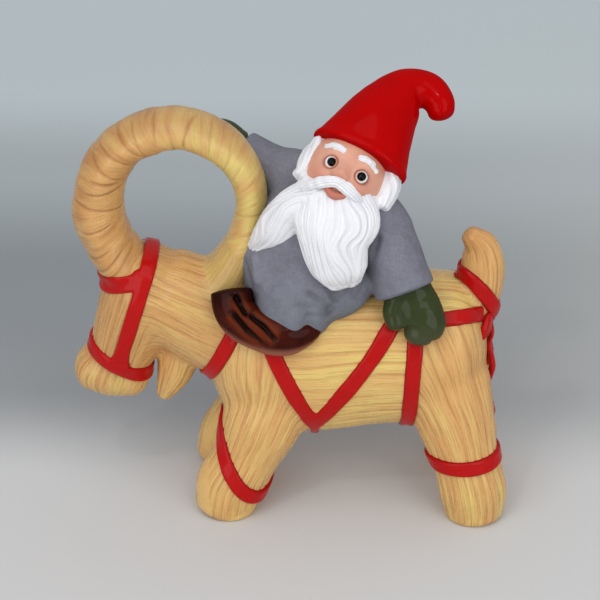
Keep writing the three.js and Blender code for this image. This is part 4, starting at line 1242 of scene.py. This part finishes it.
# Mittens
hand = Loft(offset(wrist, [
    (1, 1, 1, 6.5, 9), (5, -3, -8, 6.5, 10), (7, -5, -13.8, 6.5, 9.5), (5.5, -7, -17.5, 5, 6),
]), across=(1, 0, 0), domes=(3, 4))
thumb = Loft(offset(wrist, [
    (-3, -2, -3, 5, 5), (-4.5, -4, -8.5, 4.5, 4.5), (-3.5, -6, -12.5, 3.8, 3.8),
]), across=(1, 0, 0), domes=(3, 3))
points, faces = melt((hand, thumb), pitch=0.5, cols=100, size=0.33)
points = relax(points, neighbours(points, faces), 12)
points = push(points, faces, 0.3 * noise(points / 7, 131) + 0.12 * noise(points / 3, 133))
# The shade mark here turns the lower part of the hand a paler grey-green
shade = smooth(wrist[2] - 8, wrist[2] - 22, points[:, 2]) * 0.55
piece("mitten_hand_left", points, faces, MITTEN, ["mitten_left"], {"shade": shade})
points, faces, *_ = Loft(offset(grip, [
    (12, 0.5, -4, 7, 6.5), (5, 0, 0, 8, 6.5), (-3, -2, 1.5, 6.5, 5),
]), domes=(3, 4)).skin(0.4, 110)
points = push(points, faces, 0.3 * noise(points / 7, 135))
piece("mitten_hand_right", points, faces, MITTEN, ["mitten_right"], {"shade": 0.1})

# Trouser legs: the right one mirrors the left, with its front end further back and down
points, faces, n, _, v = Loft(offset(SEAT, [
    (-27, -20, 1, 8.5, 8.5), (-26, -23, -5, 8.5, 8.5), (-18, -26, -12, 8.5, 8.5),
    (-5, -27, -14.5, 8.5, 8.5), (3, -24.5, -12.5, 7, 6.5), (8.5, -21.5, -10, 3.5, 3.5),
]), across=(0, 0, 1), domes=(1.5, 2)).skin(0.3, 170)
cut = np.zeros(len(points))
ridge = np.zeros(len(points))
for path in (
    ((-25.5, -27, 4), (-24.8, -28, 2.7), (-21.3, -30.3, -2.7), (-19.5, -31, -4)),
    ((-27, -30, -1.5), (-26.3, -30.8, -2.5), (-20.6, -33.3, -8.9), (-13.8, -34.3, -14.3),
     (-11.5, -34.3, -15)),
    ((-20, -30, -3), (-19.1, -30.4, -3.7), (-14.4, -32.5, -7.2), (-9.4, -34.8, -12.3),
     (-7.5, -34.8, -13.5)),
):
    cut = np.maximum(cut, crease(points, path, 1.35, 1.0))
    ridge = np.maximum(ridge, crease(points, path, 3.0, 1.0))
left = points + n * (0.35 * noise(points / 8, 141) - 1.7 * cut + 0.55 * (ridge - cut))[:, None]
right = left * [1, -1, 1] + smooth(9, 0, v)[:, None] * [2.5, 0, -3]
marks = {
    "shade": np.clip(1.4 * cut + 0.55 * smooth(8, 1, v), 0, 1),
    "ridge": np.clip(1.5 * (ridge - cut), 0, 1) * 0.48,
    "rim": smooth(-0.15, -0.6, n[:, 2]) * smooth(6, 12, v) * 0.8,
}
for side, out in (("left", left), ("right", right)):
    piece("trouser_leg_" + side, out, faces, TROUSER, ["trouser_" + side], marks)

# Head of the rider
nod, lean = math.radians(35), math.radians(26)
out_dir = np.array([0, -math.cos(nod), math.sin(nod)])
up_dir = np.array([math.sin(lean), math.cos(lean) * math.sin(nod), math.cos(lean) * math.cos(nod)])
side_dir = np.cross(up_dir, out_dir)
AXES = np.array([side_dir, up_dir, out_dir])


def on_face(side, up, out):
    """A place counted sideways, up and out from the middle of the head."""
    return HEAD + side * side_dir + up * up_dir + out * out_dir


def head_loft(rows, across=out_dir, domes=(1, 1)):
    """A loft whose stations are sideways, up and out from the middle of the head."""
    return Loft([[*on_face(side, up, out), tall, wide] for side, up, out, tall, wide in rows], across, domes)


def spots(points, rows):
    """Soft spots on the front of the face: each has a height, its place sideways and up, and its radius."""
    return sum(high * np.exp(-((points[:, 0] - side) ** 2 + (points[:, 1] - up) ** 2) / radius ** 2)
               * (points[:, 2] > 0) for high, side, up, radius in rows)


EYES = ((7.1, 0.1), (-6.1, 0.1))
EYE_RADIUS = 2.6
points, faces, _ = ball(np.zeros(3), np.array([FACE, FACE - 0.5, FACE + 1]), 200, 300,
                        [[1, 0, 0], [0, 0, -1], [0, 1, 0]])
# Nose and its bridge, nostrils, cheeks and brow ridges
raised = spots(points, (
    (2.6, -0.5, -2.4, 2.5), (1.0, -0.5, 0.6, 2.4), (0.9, 2.0, -3.0, 1.3), (0.9, -3.0, -3.0, 1.3),
    (0.9, 8.4, -4.4, 4.2), (0.9, -9.2, -4.4, 4.2), (0.7, 7.0, 6.8, 3.4), (0.7, -7.0, 6.8, 3.4),
))
rim = np.zeros(len(points))
for ex, ey in EYES:
    gap = np.hypot(points[:, 0] - ex, points[:, 1] - ey)
    front = points[:, 2] > 0
    raised -= 1.0 * bump(gap, 0, 2.9) * front
    raised += 0.45 * bump(gap, 3.1, 0.6) * front
    rim += 0.85 * bump(gap, 2.75, 0.4) * front
flush = spots(points, ((0.5, 8.4, -5, 4), (0.5, -9.2, -5, 4), (0.5, -0.5, -3, 2.8)))
piece("face_skin", HEAD + push(points, faces, raised) @ AXES, faces, SKIN, ["face"],
      {"flush": np.clip(flush, 0, 1), "shade": np.clip(rim, 0, 1)})
for (side, _), (ex, ey), look in zip(SIDES, EYES, ((0.02, 0.05, 1.0), (0.13, 0.06, 1.0))):
    points, faces, local = ball(on_face(ex, ey, FACE - 3.4), EYE_RADIUS * np.ones(3), 60, 80, AXES)
    toward = local @ unit(np.array(look))
    piece("eye_ball_" + side, points, faces, EYE, ["eye_" + side],
          {"pupil": smooth(0.68, 0.73, toward), "rim": smooth(0.4, 0.25, toward)})


def tuft(name, form, nodes, radius, depth, pitch, seed):
    """A small lock of white hair, combed along its length."""
    points, faces, n, theta, v = form.skin(0.2, 90)
    cut = depth * valleys(radius * wrap(theta), v, pitch, seed, 0.5)
    swell = 0.42 * noise(columns(np.cos(theta) * 0.7, np.sin(theta) * 0.7, v / 1.9), seed + 3)
    # groove: painted shade in the valleys between the strands
    piece(name, points + n * (swell - cut)[:, None], faces, HAIR, nodes,
          {"groove": np.clip(cut / depth, 0, 1) * 0.7})


for side, sign in SIDES:
    form = head_loft([
        (sign * 3.3, 6.3, FACE - 2.2, 1.5, 1.2), (sign * 7.1, 6.8, FACE - 3.4, 1.7, 1.4),
        (sign * 10.7, 5.2, FACE - 6, 1.3, 1.2),
    ])
    tuft("brow_hair_" + side, form, ["brow_" + side], 1.7, 0.3, 1.3, 161 + sign)
points, faces, *_ = head_loft([
    (-3.4, -9.8, FACE - 3, 1.2, 1.6), (0.5, -11.2, FACE - 2.4, 1.6, 1.8), (4, -9.8, FACE - 3, 1.2, 1.6),
]).skin(0.2, 60)
piece("lip_slip", points, faces, LIP, ["lip"], {"shade": 0.1})
form = head_loft([
    (-11.4, -13.2, FACE - 6.0, 1.2, 1.6), (-7.0, -9.6, FACE - 2.2, 2.4, 2.4),
    (-0.8, -6.2, FACE - 0.3, 2.3, 2.2), (6.2, -7.3, FACE - 2.2, 2.5, 2.4),
    (12.7, -8.8, FACE - 7, 1.2, 1.6),
])
tuft("moustache_hair", form, ["moustache"], 2.6, 0.45, 1.5, 171)

# Beard, its side lobe, the locks at the temples and the hair behind them are one mass.
# Each form comes with the radius that turns its angles into mm, and the angle of the seam of its strands.
HAIRS = [
    (Loft(offset(HEAD, [
        (-3, -9, -5, 9, 15.5), (-3.3, -16, -13, 8.5, 17.5), (-3.3, -20, -22.5, 7.5, 13.5),
        (-1.0, -22, -31.5, 5.5, 10.8), (0.4, -21.5, -36.3, 3.2, 7.4),
    ]), across=(1, 0, 0), domes=(4, 2.6)), 13, math.pi),
    (Loft(offset(HEAD, [
        (-8.5, -9, -2.8, 7.6, 8.6), (-20, -9, -13, 6.5, 10.5), (-28.5, -7, -23, 5.5, 8.5),
        (-35.5, -4, -30.5, 3, 3.8),
    ]), across=(1, 0, -0.8), domes=(3, 2)), 9, math.pi),
    (head_loft([(16, 9, 1, 4, 4), (18, 2.5, 2, 4.6, 5), (18.2, -4.5, 2, 4, 4.6)], domes=(2, 2)),
     4.5, -math.pi / 2),
    (head_loft([(-14.6, 8, 2, 3.2, 3.6), (-14.8, 0, 3.5, 3.6, 4.2), (-15, -8.5, 4, 4, 5)], domes=(2, 2)),
     4.5, -math.pi / 2),
    (head_loft([(0, -0.5, -5, FACE - 1, FACE + 3), (0, 1.5, -5, FACE - 1, FACE + 3)], side_dir, (FACE, FACE)),
     17, math.pi),
]
points, faces = melt([form for form, _, _ in HAIRS], pitch=0.6, cols=140, size=0.36)
found = [form.locate(points) for form, _, _ in HAIRS]
gaps = np.stack([row[2] for row in found])
net = neighbours(points, faces)
points = relax(points, net, 4)
points = relax(points, net, 60, 0.5 * meeting(gaps, 2.2))
weight = np.exp(-(gaps - gaps.min(0)) / 0.6)
weight /= weight.sum(0)
cut = np.zeros(len(points))
swell = np.zeros(len(points))
for k, ((form, out, seam), (angle, v, _)) in enumerate(zip(HAIRS, found)):
    u = out * wrap(angle - seam + math.pi)
    bend = u + 2.0 * np.sin(v / 8 + 0.22 * u + k) + 3.0 * uneven(u / 6.5, v / 11, 231 + k)
    held = 0.2 + 0.8 * smooth(-0.3, 0.3, uneven(bend / 4, v / 11, 241 + k))
    thick_strand = held * valleys(bend, v, 2.9, 181 + k, 1.5)
    thin_strand = valleys(bend, v, 1.45, 191 + k, 1.3)
    cut += weight[k] * (0.7 * thick_strand + 0.34 * thin_strand)
    swell += weight[k] * 0.75 * uneven(bend / 3.2, v / 13, 201 + k)
# groove: painted shade in the valleys between the strands
piece("hair_mass", push(points, faces, swell - cut), faces, HAIR, ["beard", "beard_wing", "hair"],
      {"groove": np.clip(0.9 * cut, 0, 1)})

# Cap
form = head_loft([
    (1.9, 8.6, 0.4, 20.5, 15.5), (2.2, 20.7, -1.8, 16.7, 14.5), (3.6, 33.58, -4, 12.9, 11.5),
    (7.2, 43.7, -6, 9.3, 9.3), (14.2, 46.92, -6, 7.5, 7.5), (20.2, 44.62, -6, 6.5, 6.5),
    (22.8, 41.4, -6, 5.5, 5.5),
], domes=(1.2, 3))
points, faces = melt([form], pitch=0.7, cols=180, size=0.5)
points = relax(points, neighbours(points, faces), 14)
_, v, _ = form.locate(points, 160)
dent = 0.35 * noise(points / 16, 221) + 0.12 * noise(points / 6, 223)
piece("cap_felt", push(points, faces, dent + 0.45 * bump(v, 1.5, 1.6)), faces, CAP, ["cap"],
      {"shade": smooth(1.0, -1.0, v) * 0.4})

# Floor: its grey changes with depth and from left to right; the dark band just behind the goat, deeper on the
# left, is painted shade where the light falls off
REACH = 3000
corners = np.array([[-REACH, -REACH, 0], [REACH, -REACH, 0], [REACH, REACH, 0], [-REACH, REACH, 0]], float)
floor = make_object("floor", corners, [np.array([[0, 1, 2, 3]])])
paint = Paint("floor_paper", 0.9, specular=0.1)
x, y, _ = paint.split(paint.place)
depth = paint.scaled(y, -0.3, 0.7)
left = paint.steps(
    depth, (0.0, (209, 209, 208)), (0.3, (210, 210, 210)), (0.38, (158, 161, 164)), (0.5, (151, 156, 160)),
    (0.62, (180, 187, 190)), (0.74, (206, 215, 218)), (1.0, (212, 221, 224)))
right = paint.steps(
    depth, (0.0, (209, 209, 208)), (0.3, (212, 212, 212)), (0.38, (184, 185, 185)), (0.5, (180, 183, 183)),
    (0.62, (192, 197, 199)), (0.74, (208, 216, 218)), (1.0, (212, 221, 224)))
paint.into("Base Color", paint.mix(paint.scaled(x, 0.02, 0.16), left, right))
floor.data.materials.append(paint.material)

# Light: a soft room, brighter towards its ceiling, and round lamps
world = bpy.data.worlds.new("soft_room")
world.use_nodes = True
sky = world.node_tree
direction = sky.nodes.new("ShaderNodeTexCoord")
split = sky.nodes.new("ShaderNodeSeparateXYZ")
height = sky.nodes.new("ShaderNodeMapRange")
background = sky.nodes["Background"].inputs
background["Color"].default_value = (0.95, 0.975, 1.0, 1)
for key, value in (("From Min", -0.1), ("From Max", 0.9), ("To Min", 0.36), ("To Max", 0.62)):
    height.inputs[key].default_value = value
sky.links.new(direction.outputs["Generated"], split.inputs["Vector"])
sky.links.new(split.outputs["Z"], height.inputs["Value"])
sky.links.new(height.outputs["Result"], background["Strength"])
bpy.context.scene.world = world
AIM = Vector((0, 0, 0.08))
for name, place, size, watts in (
    ("tent", (-0.1, -0.6, 1.05), 1.3, 4.0), ("fill", (0.8, -0.95, 0.45), 0.9, 3.4),
    ("front", (-0.7, -1.05, 0.42), 0.9, 3.4), ("glint", (-0.3, -0.6, 1.0), 0.04, 0.55),
    ("spark", (0.3, -0.8, 0.8), 0.04, 0.3),
):
    lamp = bpy.data.lights.new(name, "AREA")
    lamp.shape = "DISK"
    lamp.size = size
    lamp.energy = watts
    ob = bpy.data.objects.new(name, lamp)
    ob.location = place
    ob.rotation_euler = (Vector(place) - AIM).to_track_quat("Z", "Y").to_euler()
    bpy.context.scene.collection.objects.link(ob)

bpy.context.scene.view_settings.view_transform = "Standard"
